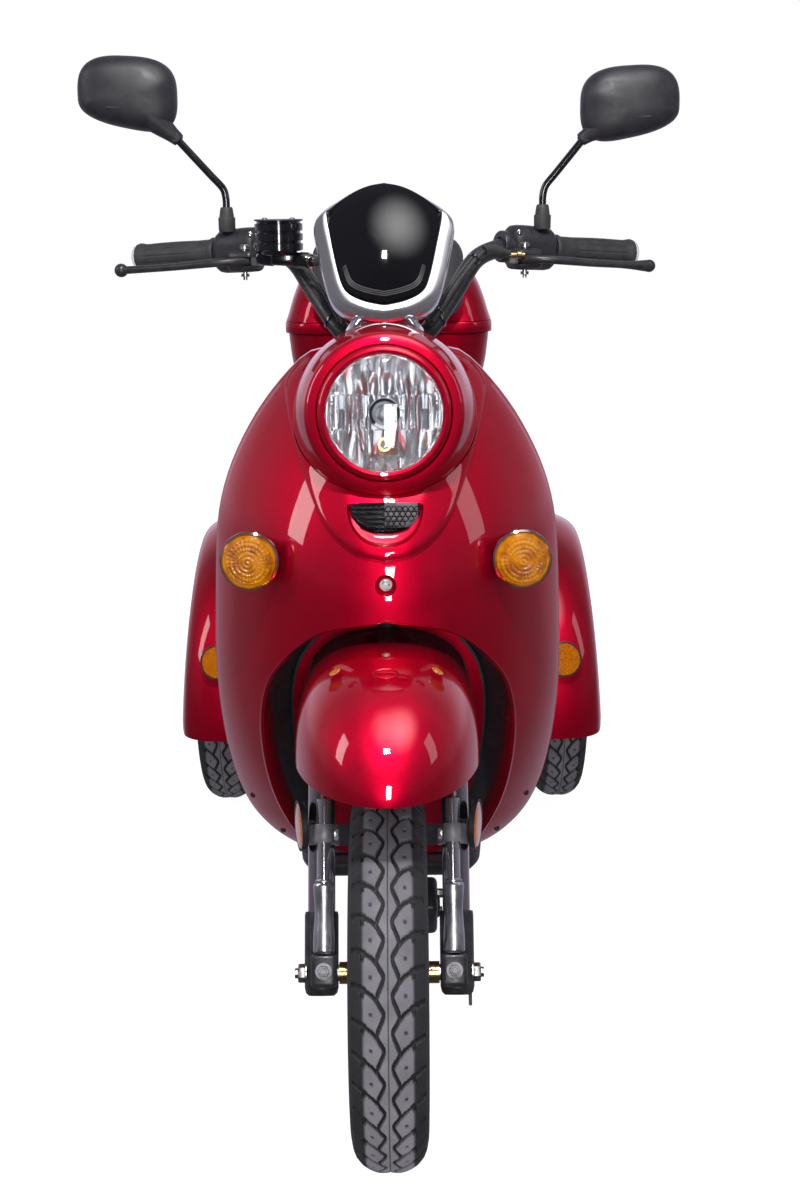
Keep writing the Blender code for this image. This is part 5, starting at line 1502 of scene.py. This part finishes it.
# ---------------------------------------------------------------- instrument
def make_instrument():
    """The pod leans back: its face looks ahead and up."""
    low, high = spot(0, 0.272, 0.900), spot(0, 0.358, 1.046)
    up = (high - low).normalized()
    outward = Vector((0, -up.z, up.y))
    screen_half = [(0.0, 0.0110), (0.0230, 0.0165), (0.0420, 0.0265), (0.0505, 0.0440), (0.0605, 0.0900),
                   (0.0670, 0.1270), (0.0625, 0.1350), (0.0390, 0.1540), (0.0200, 0.1640), (0.0, 0.1685)]
    frame_half = [(0.0, -0.0090), (0.0280, -0.0045), (0.0530, 0.0070), (0.0670, 0.0300), (0.0785, 0.0860),
                  (0.0825, 0.1150), (0.0715, 0.1340), (0.0420, 0.1550), (0.0210, 0.1650), (0.0, 0.1698)]

    def contour(half, count):
        curve = smooth_curve(half, count)
        return [tuple(p) for p in curve] + [(-x, h) for x, h in curve[-2:0:-1]]

    screen_line, frame_line = contour(screen_half, 60), contour(frame_half, 60)

    def layer(line, scale, depth, centre_height=0.085, bulge=0.0):
        ring = []
        for x, h in line:
            sx, sh = x * scale, centre_height + (h - centre_height) * scale
            lift = depth - bulge * ((sx / 0.072) ** 2 + ((sh - centre_height) / 0.090) ** 2)
            ring.append(low + X_AXIS * sx + up * sh + outward * lift)
        return ring

    dome = [layer(screen_line, scale, 0.0200, bulge=0.0200) for scale in
            (1.0, 0.96, 0.90, 0.82, 0.73, 0.63, 0.52, 0.40, 0.28, 0.16, 0.05)]
    piece("instrument_visor", loft([layer(screen_line, 0.90, -0.006), layer(screen_line, 0.99, -0.0025)]
                                   + dome), "smoked_screen", "steering", ("instrument_screen",), smooth=45)
    surround = []
    for k in range(len(screen_line)):
        inner, outer = Vector(screen_line[k]), Vector(frame_line[k])
        section = []
        for share, lift in ((-0.02, -0.0060), (0.02, 0.0005), (0.05, 0.0024), (0.12, 0.0028), (0.60, 0.0010),
                            (0.92, -0.0010), (0.98, -0.0030), (1.0, -0.0070), (0.99, -0.0170),
                            (0.90, -0.0240)):
            place = inner.lerp(outer, share)
            section.append(low + X_AXIS * place.x + up * place.y + outward * lift)
        surround.append(section)
    points = [p for section in surround for p in section]
    count = len(surround[0])
    faces = []
    for k in range(len(surround)):
        n = (k + 1) % len(surround)
        for j in range(count):
            m = (j + 1) % count
            faces.append((k * count + j, n * count + j, n * count + m, k * count + m))
    piece("instrument_surround", (points, faces), "bright_trim", "steering", (), smooth=40)
    back = loft([layer(frame_line, 0.66, -0.0400), layer(frame_line, 0.80, -0.0380),
                 layer(frame_line, 0.92, -0.0300), layer(frame_line, 0.975, -0.0200),
                 layer(frame_line, 0.975, -0.0110), layer(frame_line, 0.90, -0.0100)])
    piece("instrument_back", back, "black_plastic", "steering", ("instrument_shell",))
    dots = []
    lower = [p for p in smooth_curve(screen_half[:5], 46)]
    for row in range(3):
        shrink = 0.905 - 0.030 * row
        for sign in SIDES.values():
            for x, h in lower:
                sx, sh = sign * x * shrink, 0.085 + (h - 0.085) * shrink
                if sh > 0.058:
                    continue
                lift = 0.0200 - 0.0200 * ((sx / 0.072) ** 2 + ((sh - 0.085) / 0.090) ** 2) + 0.0001
                place = low + X_AXIS * sx + up * sh + outward * lift
                dots.append(turned([(0, 0.0003), (0.00042, 0.0002), (0.00046, -0.0004), (0, -0.0004)], place,
                                   outward, 6))
    piece("visor_dots", merged(*dots), "thread", "steering")
    neck = tube([spot(0, 0.318, 0.868), spot(0, 0.305, 0.902), spot(0, 0.306, 0.930)], [0.020, 0.024, 0.030],
                36)
    piece("instrument_neck", neck, "black_plastic", "steering")
    collar = [(0.0148, -0.012), (0.0235, -0.012), (0.0250, -0.008), (0.0250, 0.006), (0.0235, 0.010),
              (0.0148, 0.010)]
    piece("stem_clamp", turned(collar, on_steering_axis(0.700), STEER_UP, 44, ring=True), "black_metal",
          "steering")
    for side, sign in SIDES.items():
        rings = []
        for share, width, height in ((0.0, 0.0040, 0.0040), (0.25, 0.0085, 0.0100), (0.6, 0.0100, 0.0105),
                                     (0.9, 0.0070, 0.0065), (1.0, 0.0030, 0.0030)):
            centre = spot(sign * 0.024, 0.262, 0.893).lerp(spot(sign * 0.046, 0.284, 0.876), share)
            ring = []
            for k in range(24):
                turn = 2 * math.pi * k / 24
                ring.append(centre + Vector((0, -math.cos(turn) * width, math.sin(turn) * height)))
            rings.append(ring)
        piece(f"cowl_trim_{side}", loft(rings), "chrome", "steering", smooth=60)


# ---------------------------------------------------------------- mirrors
def mirror_outline(turn):
    """A mirror seen from ahead, as (x outward, z): rounder at its outer end, deepest beside its stem."""
    x = math.copysign(abs(math.cos(turn)) ** 0.70, math.cos(turn)) * 0.061
    reach = 0.0475 + 0.05 * x if math.sin(turn) > 0 else 0.0385 - 0.20 * x
    return x, math.copysign(abs(math.sin(turn)) ** 0.67, math.sin(turn)) * reach


def make_mirrors():
    for side, sign in SIDES.items():
        base, ball, centre = MIRROR_BASE[side], MIRROR_BALL[side], MIRROR_CENTRE[side]
        bend = base + Vector((sign * 0.004, 0, 0.043))
        stem = smooth_curve([base - Z_AXIS * 0.005, base + Z_AXIS * 0.020,
                             base + Vector((sign * 0.0005, 0, 0.032)), bend, bend.lerp(ball, 0.25),
                             bend.lerp(ball, 0.50), bend.lerp(ball, 0.75), ball], 60)
        piece(f"mirror_stem_{side}", tube(stem, 0.0046, 28), "gloss_black", f"mirror_arm_{side}",
              (f"mirror_arm_{side}",))
        boot = [(0.0, -0.014), (0.0096, -0.014), (0.0104, -0.012), (0.0106, 0.002), (0.0104, 0.003),
                (0.0092, 0.004), (0.0078, 0.014), (0.0066, 0.016), (0.0, 0.016)]
        piece(f"mirror_boot_{side}", turned(boot, base + Z_AXIS * 0.004, Z_AXIS, 40), "black_rubber",
              f"mirror_arm_{side}")
        rings = []
        for depth, scale in ((0.0085, 0.90), (0.0100, 0.955), (0.0085, 0.99), (0.0040, 1.0), (-0.0020, 0.985),
                             (-0.0080, 0.945), (-0.0130, 0.875), (-0.0170, 0.780), (-0.0200, 0.660),
                             (-0.0222, 0.500), (-0.0235, 0.300), (-0.0240, 0.100)):
            ring_points = []
            for k in range(96):
                turn = 2 * math.pi * k / 96
                x, z = mirror_outline(turn)
                crease = 0.0016 * math.exp(-((z * scale + 0.26 * x * scale) / 0.010)
                                           ** 2) if depth < -0.01 else 0.0
                ring_points.append(centre + Vector((sign * x * scale, depth - crease, z * scale)))
            rings.append(ring_points)
        piece(f"mirror_shell_{side}", loft(rings), "black_plastic", f"mirror_head_{side}",
              (f"mirror_head_{side}",), smooth=50)
        glass = []
        for depth, scale in ((0.0092, 0.885), (0.0101, 0.885), (0.0104, 0.40)):
            ring_points = []
            for k in range(96):
                turn = 2 * math.pi * k / 96
                x, z = mirror_outline(turn)
                ring_points.append(centre + Vector((sign * x * scale, depth, z * scale)))
            glass.append(ring_points)
        piece(f"mirror_glass_{side}", loft(glass), "mirror_glass", f"mirror_head_{side}")
        inward = (ball - centre).normalized()
        neck_start = centre + Vector((0, -0.004, 0)) + inward * 0.036
        neck = tube([neck_start, neck_start.lerp(ball, 0.45), ball - inward * 0.004, ball + inward * 0.006],
                    [0.0170, 0.0135, 0.0094, 0.0078], 36)
        piece(f"mirror_neck_{side}", neck, "black_plastic", f"mirror_head_{side}", smooth=60)
        socket = turned([(0.0, 0.0085), (0.0055, 0.0078), (0.0082, 0.0040), (0.0086, -0.0060),
                         (0.0060, -0.0100), (0, -0.0105)], ball, Vector((0, -1, 0)), 36)
        piece(f"mirror_socket_{side}", socket, "black_plastic", f"mirror_head_{side}")
        mark = block(centre + Vector((sign * 0.014, -0.0226, -0.009)), (0.017, 0.0012, 0.012), None, 0.0004)
        piece(f"mirror_mould_mark_{side}", mark, "black_rubber", f"mirror_head_{side}")


# ---------------------------------------------------------------- floor, seat, fenders and top box
def upright_rings(levels, centre_behind, corner, corner_points=12):
    """Rounded rectangles, one for each (z, half width, half length) level."""
    return [[spot(x, centre_behind + y, z) for x, y in rounded_rectangle(half_x, half_y, corner,
                                                                         corner_points)]
            for z, half_x, half_y in levels]


def smooth_levels(levels, count):
    """More levels along a smooth curve through the given ones."""
    return [tuple(row) for row in smooth_curve(levels, count)]


def floor_rings(levels, centre_behind, corner):
    """Rounded rectangles that narrow towards the front of the floor."""
    rings = upright_rings(levels, centre_behind, corner, 14)
    for ring in rings:
        for place in ring:
            share = min(1.0, max(0.0, (place.y - FRONT_AXLE_Y - 0.40) / 0.22))
            place.x *= 0.70 + 0.30 * share * share * (3 - 2 * share)
    return rings


def box_shell(levels, centre_behind, corner, thickness, corner_points=12):
    """A box open at its first level and closed past its last, with a softly domed end."""
    rings = upright_rings(levels, centre_behind, corner, corner_points)
    last_z = levels[-1][0]
    step = 1 if levels[-1][0] > levels[0][0] else -1
    columns = []
    for k in range(len(rings[0])):
        column = [ring[k] for ring in rings]
        edge = column[-1]
        centre = spot(0, centre_behind, last_z)
        for share in (0.04, 0.10, 0.25, 0.5, 0.75):
            column.append(edge.lerp(centre, share) + Vector((0, 0, step * 0.004 * min(1.0, share * 6))))
        column.append(centre + Vector((0, 0, step * 0.004)))
        columns.append(column)
    if step < 0:
        columns.reverse()
    return shell(columns, thickness, wrap=True, pole=True)


def rear_fender_grid(side, columns, rows):
    """A rear fender: a rounded channel that runs over the wheel."""
    sign = SIDES[side]
    centre = joint_point(f"rear_wheel_{side}_spin")
    grid = []
    for i in range(columns):
        swing = math.radians(-4 + 192 * i / (columns - 1))
        lean = 0.322 + 0.014 * (1 - max(math.sin(swing), 0.0))
        channel = [(0.208, 0.236), (0.206, 0.262), (0.226, 0.281), (0.262, 0.287), (lean - 0.032, 0.281),
                   (lean - 0.008, 0.264), (lean, 0.236), (lean + 0.002, 0.218)]
        section = smooth_curve(channel, rows)
        grid.append([Vector((sign * x, centre.y - r * math.cos(swing), centre.z + r * math.sin(swing)))
                     for x, r in section])
    return grid if sign > 0 else grid[::-1]


def make_rear_fenders():
    for side, sign in SIDES.items():
        piece(f"rear_fender_shell_{side}", shell(rear_fender_grid(side, 96, 48)), "red_paint", "chassis",
              (f"rear_fender_{side}",), smooth=50)
        centre = joint_point(f"rear_wheel_{side}_spin")
        place = Vector((sign * 0.273, centre.y - 0.2835, centre.z + 0.110))
        outward = Vector((sign * 0.10, -0.93, 0.30)).normalized()
        cup = [(0, -0.008), (0.0262, -0.008), (0.0278, -0.004), (0.0282, 0.0035), (0.0264, 0.0040),
               (0.0262, 0.0010), (0, 0.0010)]
        piece(f"rear_reflector_cup_{side}", turned(cup, place, outward, 56), "black_plastic", "chassis")
        piece(f"rear_reflector_{side}", turned([(0, 0.0060), (0.014, 0.0056), (0.0240, 0.0044),
                                                (0.0260, 0.0026), (0.0260, 0.0008), (0, 0.0008)], place,
                                               outward, 56), "amber_reflector", "chassis")


def ribbed_floor_mat():
    """A rubber mat with raised ribs across it."""
    solids = [loft(floor_rings([(0.1815, 0.1440, 0.1390), (0.1822, 0.1450, 0.1400), (0.1840, 0.1450, 0.1400),
                                (0.1846, 0.1440, 0.1390)], 0.545, 0.03))]
    for k in range(13):
        behind = 0.433 + 0.0187 * k
        share = min(1.0, max(0.0, (behind - 0.40) / 0.22))
        width = 0.250 * (0.70 + 0.30 * share * share * (3 - 2 * share))
        solids.append(block(spot(0, behind, 0.1855), (width, 0.0085, 0.0022), None, 0.0008, 2))
    return merged(*solids)


def pad_rings(levels, centre, corner):
    rings = []
    for z, half_x, half_y in levels:
        rings.append([centre + Vector((x, y, z)) for x, y in rounded_rectangle(half_x, half_y, corner, 14)])
    return rings


def make_seat():
    """The saddle: a moulded pan, a padded cushion with a dished top, and piping along its edge."""
    low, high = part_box("seat")
    centre = (low + high) / 2
    half_x, half_y = (high.x - low.x) / 2, (high.y - low.y) / 2
    bottom, top = low.z, high.z
    levels = []
    height = top - bottom
    for step in range(19):
        share = step / 18
        rise = bottom + height * share
        round_low = 0.030 * (1 - min(1.0, share / 0.30)) ** 2
        round_high = 0.085 * max(0.0, (share - 0.45) / 0.55) ** 2.6
        puff = 0.004 * math.sin(math.pi * min(1.0, share / 0.55))
        levels.append((rise - centre.z, half_x - 0.006 - round_low - round_high * 0.62 + puff,
                       half_y - 0.006 - round_low - round_high * 0.62 + puff))
    rings = pad_rings(levels, centre, 0.070)
    last = rings[-1]
    middle = sum(last, Vector()) / len(last)
    for share in (0.12, 0.28, 0.46, 0.64, 0.82, 0.94):
        dish = -0.010 * math.sin(math.pi / 2 * share)
        rings.append([p.lerp(middle, share) + Vector((0, 0, dish)) for p in last])
    pad = piece("seat_cushion", loft(rings), "seat_vinyl", "seat_hinge", ("seat",), smooth=60)
    seam = []
    for index in (6, 13):
        ring = rings[index]
        middle = sum(ring, Vector()) / len(ring)
        line = [p + (p - middle).normalized() * 0.0006 for p in ring]
        seam.append(closed_tube(line, 0.0022 if index == 6 else 0.0015, 10))
    piece("seat_piping", merged(*seam), "seat_vinyl", "seat_hinge", smooth=60)
    pan = loft(pad_rings([(bottom - centre.z + 0.0005, half_x - 0.034, half_y - 0.034),
                          (bottom - centre.z + 0.0065, half_x - 0.030, half_y - 0.030)], centre, 0.05))
    piece("seat_pan", pan, "black_plastic", "seat_hinge")


def make_backrest():
    low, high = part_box("backrest_pad")
    centre = (low + high) / 2
    half_x, half_y, half_z = ((high - low) / 2)[:]
    rings = []
    for step in range(15):
        share = step / 14
        turn = math.pi * (share - 0.5)
        puff = math.cos(turn) ** 0.40 if abs(turn) < math.pi / 2 - 1e-6 else 0.0
        reach = -half_y + 2 * half_y * share
        grow = 0.80 + 0.20 * puff
        rings.append([Vector((centre.x + x * grow, centre.y + reach, centre.z + z * grow))
                      for x, z in rounded_rectangle(half_x - 0.001, half_z - 0.001, 0.035, 14)])
    pad = piece("backrest_cushion", loft(rings), "seat_vinyl", "lid_hinge", ("backrest_pad",), smooth=60)
    ring = rings[7]
    piece("backrest_piping", closed_tube([p for p in ring], 0.0020, 10), "seat_vinyl", "lid_hinge", smooth=60)


def make_top_box():
    lid = smooth_levels([(0.832, 0.1700, 0.1610), (0.845, 0.1655, 0.1570), (0.870, 0.1580, 0.1495),
                         (0.895, 0.1480, 0.1400), (0.917, 0.1340, 0.1255), (0.934, 0.1130, 0.1040),
                         (0.948, 0.0700, 0.0620)], 30)
    rim = [(0.8125, 0.1690, 0.1600), (0.8130, 0.1706, 0.1616), (0.8145, 0.1712, 0.1622),
           (0.8290, 0.1712, 0.1622), (0.8306, 0.1706, 0.1616), (0.8312, 0.1696, 0.1606),
           (0.8314, 0.1690, 0.1600)]
    piece("box_lid_shell", box_shell(rim + lid, 1.24, 0.056, 0.003), "red_paint", "lid_hinge", ("box_lid",),
          smooth=45)
    base = [(0.811, 0.1662, 0.1582), (0.806, 0.1660, 0.1580)]
    base += smooth_levels([(0.800, 0.1655, 0.1575), (0.770, 0.1620, 0.1550), (0.740, 0.1560, 0.1500),
                           (0.700, 0.1470, 0.1420), (0.680, 0.1420, 0.1375), (0.665, 0.1340, 0.1300)], 24)
    piece("box_base_shell", box_shell(base, 1.24, 0.06, 0.003), "red_paint", "chassis", ("box_base",),
          smooth=45)
    latch = box_centre("box_latch")
    piece("latch_plate", block(latch + Vector((0, 0.0005, 0)), (0.050, 0.0095, 0.022), None, 0.0035, 3),
          "chrome", "latch", ("box_latch",))
    keyway = turned([(0, 0.0012), (0.0050, 0.0012), (0.0056, 0.0006), (0.0056, 0.0), (0, 0.0)],
                    latch + Vector((0, 0.0055, 0)), Y_AXIS, 28)
    piece("latch_lock", keyway, "black_metal", "latch")
    for side, sign in SIDES.items():
        rack_rail = smooth_curve([spot(sign * 0.100, 1.120, 0.6530), spot(sign * 0.108, 1.180, 0.6545),
                                  spot(sign * 0.108, 1.300, 0.6545), spot(sign * 0.100, 1.360, 0.6530)], 24)
        piece(f"rack_rail_{side}", tube(rack_rail, 0.0050, 18), "black_metal", "chassis")


def make_floor_and_body():
    piece("floor_mat_ribs", ribbed_floor_mat(), "black_rubber", "chassis", ("floor_mat",))
    pan = floor_rings([(0.1595, 0.155, 0.3375), (0.1605, 0.160, 0.3415), (0.168, 0.1670, 0.3470),
                       (0.1740, 0.1680, 0.3475), (0.1790, 0.1675, 0.3471), (0.1805, 0.1660, 0.3455),
                       (0.1810, 0.1640, 0.3435)], 0.7225, 0.05)
    piece("floor_pan_moulding", loft(pan), "black_plastic", "chassis", ("floor_pan",), smooth=45)
    base = smooth_levels([(0.1815, 0.162, 0.185), (0.30, 0.158, 0.182), (0.45, 0.150, 0.176),
                          (0.560, 0.1435, 0.170), (0.588, 0.1415, 0.168), (0.597, 0.1390, 0.1655)], 40)
    piece("seat_base_shell", box_shell(base, 0.900, 0.05, 0.004), "red_paint", "chassis", ("seat_base",),
          smooth=45)
    rear = smooth_levels([(0.275, 0.1950, 0.149), (0.285, 0.196, 0.150), (0.36, 0.196, 0.150),
                          (0.44, 0.190, 0.146), (0.476, 0.1820, 0.1400), (0.492, 0.1700, 0.1300)], 40)
    piece("rear_body_shell", box_shell(rear, 1.255, 0.05, 0.004), "red_paint", "chassis", ("rear_body",),
          smooth=45)
    low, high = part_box("tail_light")
    centre = (low + high) / 2
    piece("tail_lens", block(centre, tuple(high - low), None, 0.0055, 4), "tail_red", "chassis",
          ("tail_light",))
    piece("tail_bezel", block(centre - Y_AXIS * 0.0025, (0.208, 0.0075, 0.058), None, 0.003, 3),
          "gloss_black", "chassis")
    for sign in SIDES.values():
        for height in (0.225, 0.545):
            place = spot(sign * 0.118, 0.7125 + 0.012 * (height > 0.4), height)
            side, level = "left" if sign > 0 else "right", "high" if height > 0.4 else "low"
            piece_name = f"seat_base_screw_{side}_{level}"
            piece(piece_name, turned([(0, 0.0030), (0.0022, 0.0032), (0.0052, 0.0018), (0.0055, 0.0),
                                      (0, -0.004)], place, -Y_AXIS, 24), "black_metal", "chassis")
    key = joint_point("key_turn")
    bow = []
    for shift in (-0.0012, 0.0012):
        bow.append([key + Vector((x, 0.032 + y, shift)) for x, y in [(0.0100 * math.cos(2 * math.pi * k / 32),
                                                                      0.0068 * math.sin(2 * math.pi * k / 32)
                                                                      + 0.0030) for k in range(32)]])
    barrel = turned([(0, 0.0100), (0.0102, 0.0100), (0.0112, 0.0090), (0.0115, 0.0060), (0.0115, -0.010),
                     (0, -0.010)], key, Y_AXIS, 40)
    blade = block(key + Vector((0, 0.020, 0)), (0.0068, 0.0220, 0.0022), None, 0.0004)
    piece("key_barrel", merged(barrel, blade), "zinc", "key", ("ignition_key",))
    piece("key_bow", loft(bow), "black_plastic", "key")


# ---------------------------------------------------------------- everything built
make_front_body()
make_headlight()
make_front_indicators()
make_inner_body()
make_wheels()
make_front_fender()
make_fork()
make_handlebar()
make_instrument()
make_mirrors()
make_rear_fenders()
make_floor_and_body()
make_seat()
make_backrest()
make_top_box()


# ---------------------------------------------------------------- floor, light and camera
def stage_object(name, points, faces, colour, glow):
    """A matt white sheet of the studio that the object's gloss doesn't show."""
    mesh = bpy.data.meshes.new(name)
    mesh.from_pydata(points, [], faces)
    sheet = bpy.data.objects.new(name, mesh)
    bpy.context.scene.collection.objects.link(sheet)
    material = bpy.data.materials.new(name)
    material.use_nodes = True
    shader = material.node_tree.nodes["Principled BSDF"]
    shader.inputs["Base Color"].default_value = (colour, colour, colour, 1.0)
    shader.inputs["Roughness"].default_value = 0.9
    shader.inputs["Specular IOR Level"].default_value = 0.0
    shader.inputs["Emission Color"].default_value = (1.0, 1.0, 1.0, 1.0)
    shader.inputs["Emission Strength"].default_value = glow
    mesh.materials.append(material)
    sheet.visible_glossy = False
    return sheet


def make_floor():
    """A pale floor, and a pale dome round it that only the camera sees."""
    reach = 24.0
    corners = [(-reach, -reach, 0), (reach, -reach, 0), (reach, reach, 0), (-reach, reach, 0)]
    stage_object("studio_floor", corners, [(0, 1, 2, 3)], 0.5, 0.93)
    dome_points = []
    heights = (0.0, 0.3, 0.7, 1.1, 1.5)
    for k in range(48):
        around = 2 * math.pi * k / 48
        for height in heights:
            radius = reach * math.cos(height)
            dome_points.append((radius * math.cos(around), radius * math.sin(around),
                                reach * math.sin(height) - 0.01))
    dome = stage_object("studio_dome", dome_points, grid_faces(48, len(heights), True), 0.0, 1.0)
    dome.visible_diffuse = False
    dome.visible_transmission = False
    dome.visible_shadow = False


def soft_light(name, place, target, width, height, power, fading=False):
    """A soft box that faces its target; a fading one is brightest in its middle."""
    light = bpy.data.lights.new(name, "AREA")
    light.shape = "ELLIPSE" if width == height else "RECTANGLE"
    light.size = width
    light.size_y = height
    light.energy = power
    if fading:
        light.use_nodes = True
        nodes, links = light.node_tree.nodes, light.node_tree.links
        distance = nodes.new("ShaderNodeVectorMath")
        distance.operation = "DISTANCE"
        distance.inputs[1].default_value = (0.5, 0.5, 0.0)
        links.new(nodes.new("ShaderNodeNewGeometry").outputs["Parametric"], distance.inputs[0])
        level = nodes.new("ShaderNodeMapRange")
        level.interpolation_type = "SMOOTHSTEP"
        for socket, value in (("From Min", 0.5), ("From Max", 0.0), ("To Min", 0.0), ("To Max", 3.0)):
            level.inputs[socket].default_value = value
        links.new(distance.outputs["Value"], level.inputs["Value"])
        links.new(level.outputs["Result"], nodes["Emission"].inputs["Strength"])
    lamp = bpy.data.objects.new(name, light)
    lamp.location = place
    lamp.rotation_mode = "QUATERNION"
    lamp.rotation_quaternion = (Vector(target) - Vector(place)).to_track_quat("-Z", "Y")
    bpy.context.scene.collection.objects.link(lamp)


def make_studio():
    world = bpy.data.worlds.new("studio")
    bpy.context.scene.world = world
    world.use_nodes = True
    nodes, links = world.node_tree.nodes, world.node_tree.links
    direction = nodes.new("ShaderNodeTexCoord").outputs["Generated"]
    split = nodes.new("ShaderNodeSeparateXYZ")
    links.new(direction, split.inputs["Vector"])
    levels = []
    for axis, stops in (("Y", ((0.04, 0.03), (0.22, 0.11), (0.50, 0.15), (0.72, 0.34), (0.90, 0.85))),
                        ("Z", ((0.0, 0.40), (0.44, 0.52), (0.53, 1.0), (0.75, 0.75), (1.0, 0.6)))):
        shift = nodes.new("ShaderNodeMapRange")
        shift.inputs["From Min"].default_value = -1.0
        links.new(split.outputs[axis], shift.inputs["Value"])
        ramp = nodes.new("ShaderNodeValToRGB")
        ramp.color_ramp.interpolation = "EASE"
        links.new(shift.outputs["Result"], ramp.inputs["Fac"])
        elements = ramp.color_ramp.elements
        for extra in range(3):
            elements.new(0.3 + 0.2 * extra)
        for element, (position, level) in zip(elements, stops):
            element.position = position
            element.color = (level, level * 0.96, level * 1.08, 1.0)
        levels.append(ramp.outputs["Color"])
    both = nodes.new("ShaderNodeMix")
    both.data_type = "RGBA"
    both.blend_type = "MULTIPLY"
    both.inputs["Factor"].default_value = 1.0
    links.new(levels[0], both.inputs["A"])
    links.new(levels[1], both.inputs["B"])
    background = nodes["Background"]
    links.new(both.outputs["Result"], background.inputs["Color"])
    background.inputs["Strength"].default_value = 1.0
    middle = (0, -0.45, 0.62)
    soft_light("key_box", (0.0, -1.75, 2.55), (0, -0.5, 0.70), 0.14, 0.20, 50)
    soft_light("low_box", (0.08, -2.70, 0.95), middle, 0.20, 0.80, 22)
    soft_light("left_window", (-2.6, -0.9, 2.05), middle, 0.6, 1.5, 17)
    soft_light("right_window", (2.6, -0.9, 2.05), middle, 0.6, 1.5, 6)
    soft_light("overhead_box", (0.45, -1.0, 3.0), (0, -0.3, 0.4), 2.4, 2.4, 23, True)
    bpy.context.scene.view_settings.view_transform = "Standard"


CAMERA_PLACE = (0.015, -2.294, 1.031)
CAMERA_PITCH = math.radians(13.53)
CAMERA_YAW = 0.0
CAMERA_ROLL = math.radians(-0.5)
CAMERA_LENS = 50.27


def make_camera():
    camera = bpy.data.cameras.new("camera")
    camera.lens = CAMERA_LENS
    camera.sensor_width = 36.0
    camera.clip_start = 0.05
    holder = bpy.data.objects.new("camera", camera)
    holder.location = CAMERA_PLACE
    turn = (Matrix.Rotation(CAMERA_YAW, 4, "Z") @ Matrix.Rotation(math.pi / 2 - CAMERA_PITCH, 4, "X")
            @ Matrix.Rotation(CAMERA_ROLL, 4, "Z"))
    holder.rotation_euler = turn.to_euler()
    bpy.context.scene.collection.objects.link(holder)
    bpy.context.scene.camera = holder


make_floor()
make_studio()
make_camera()
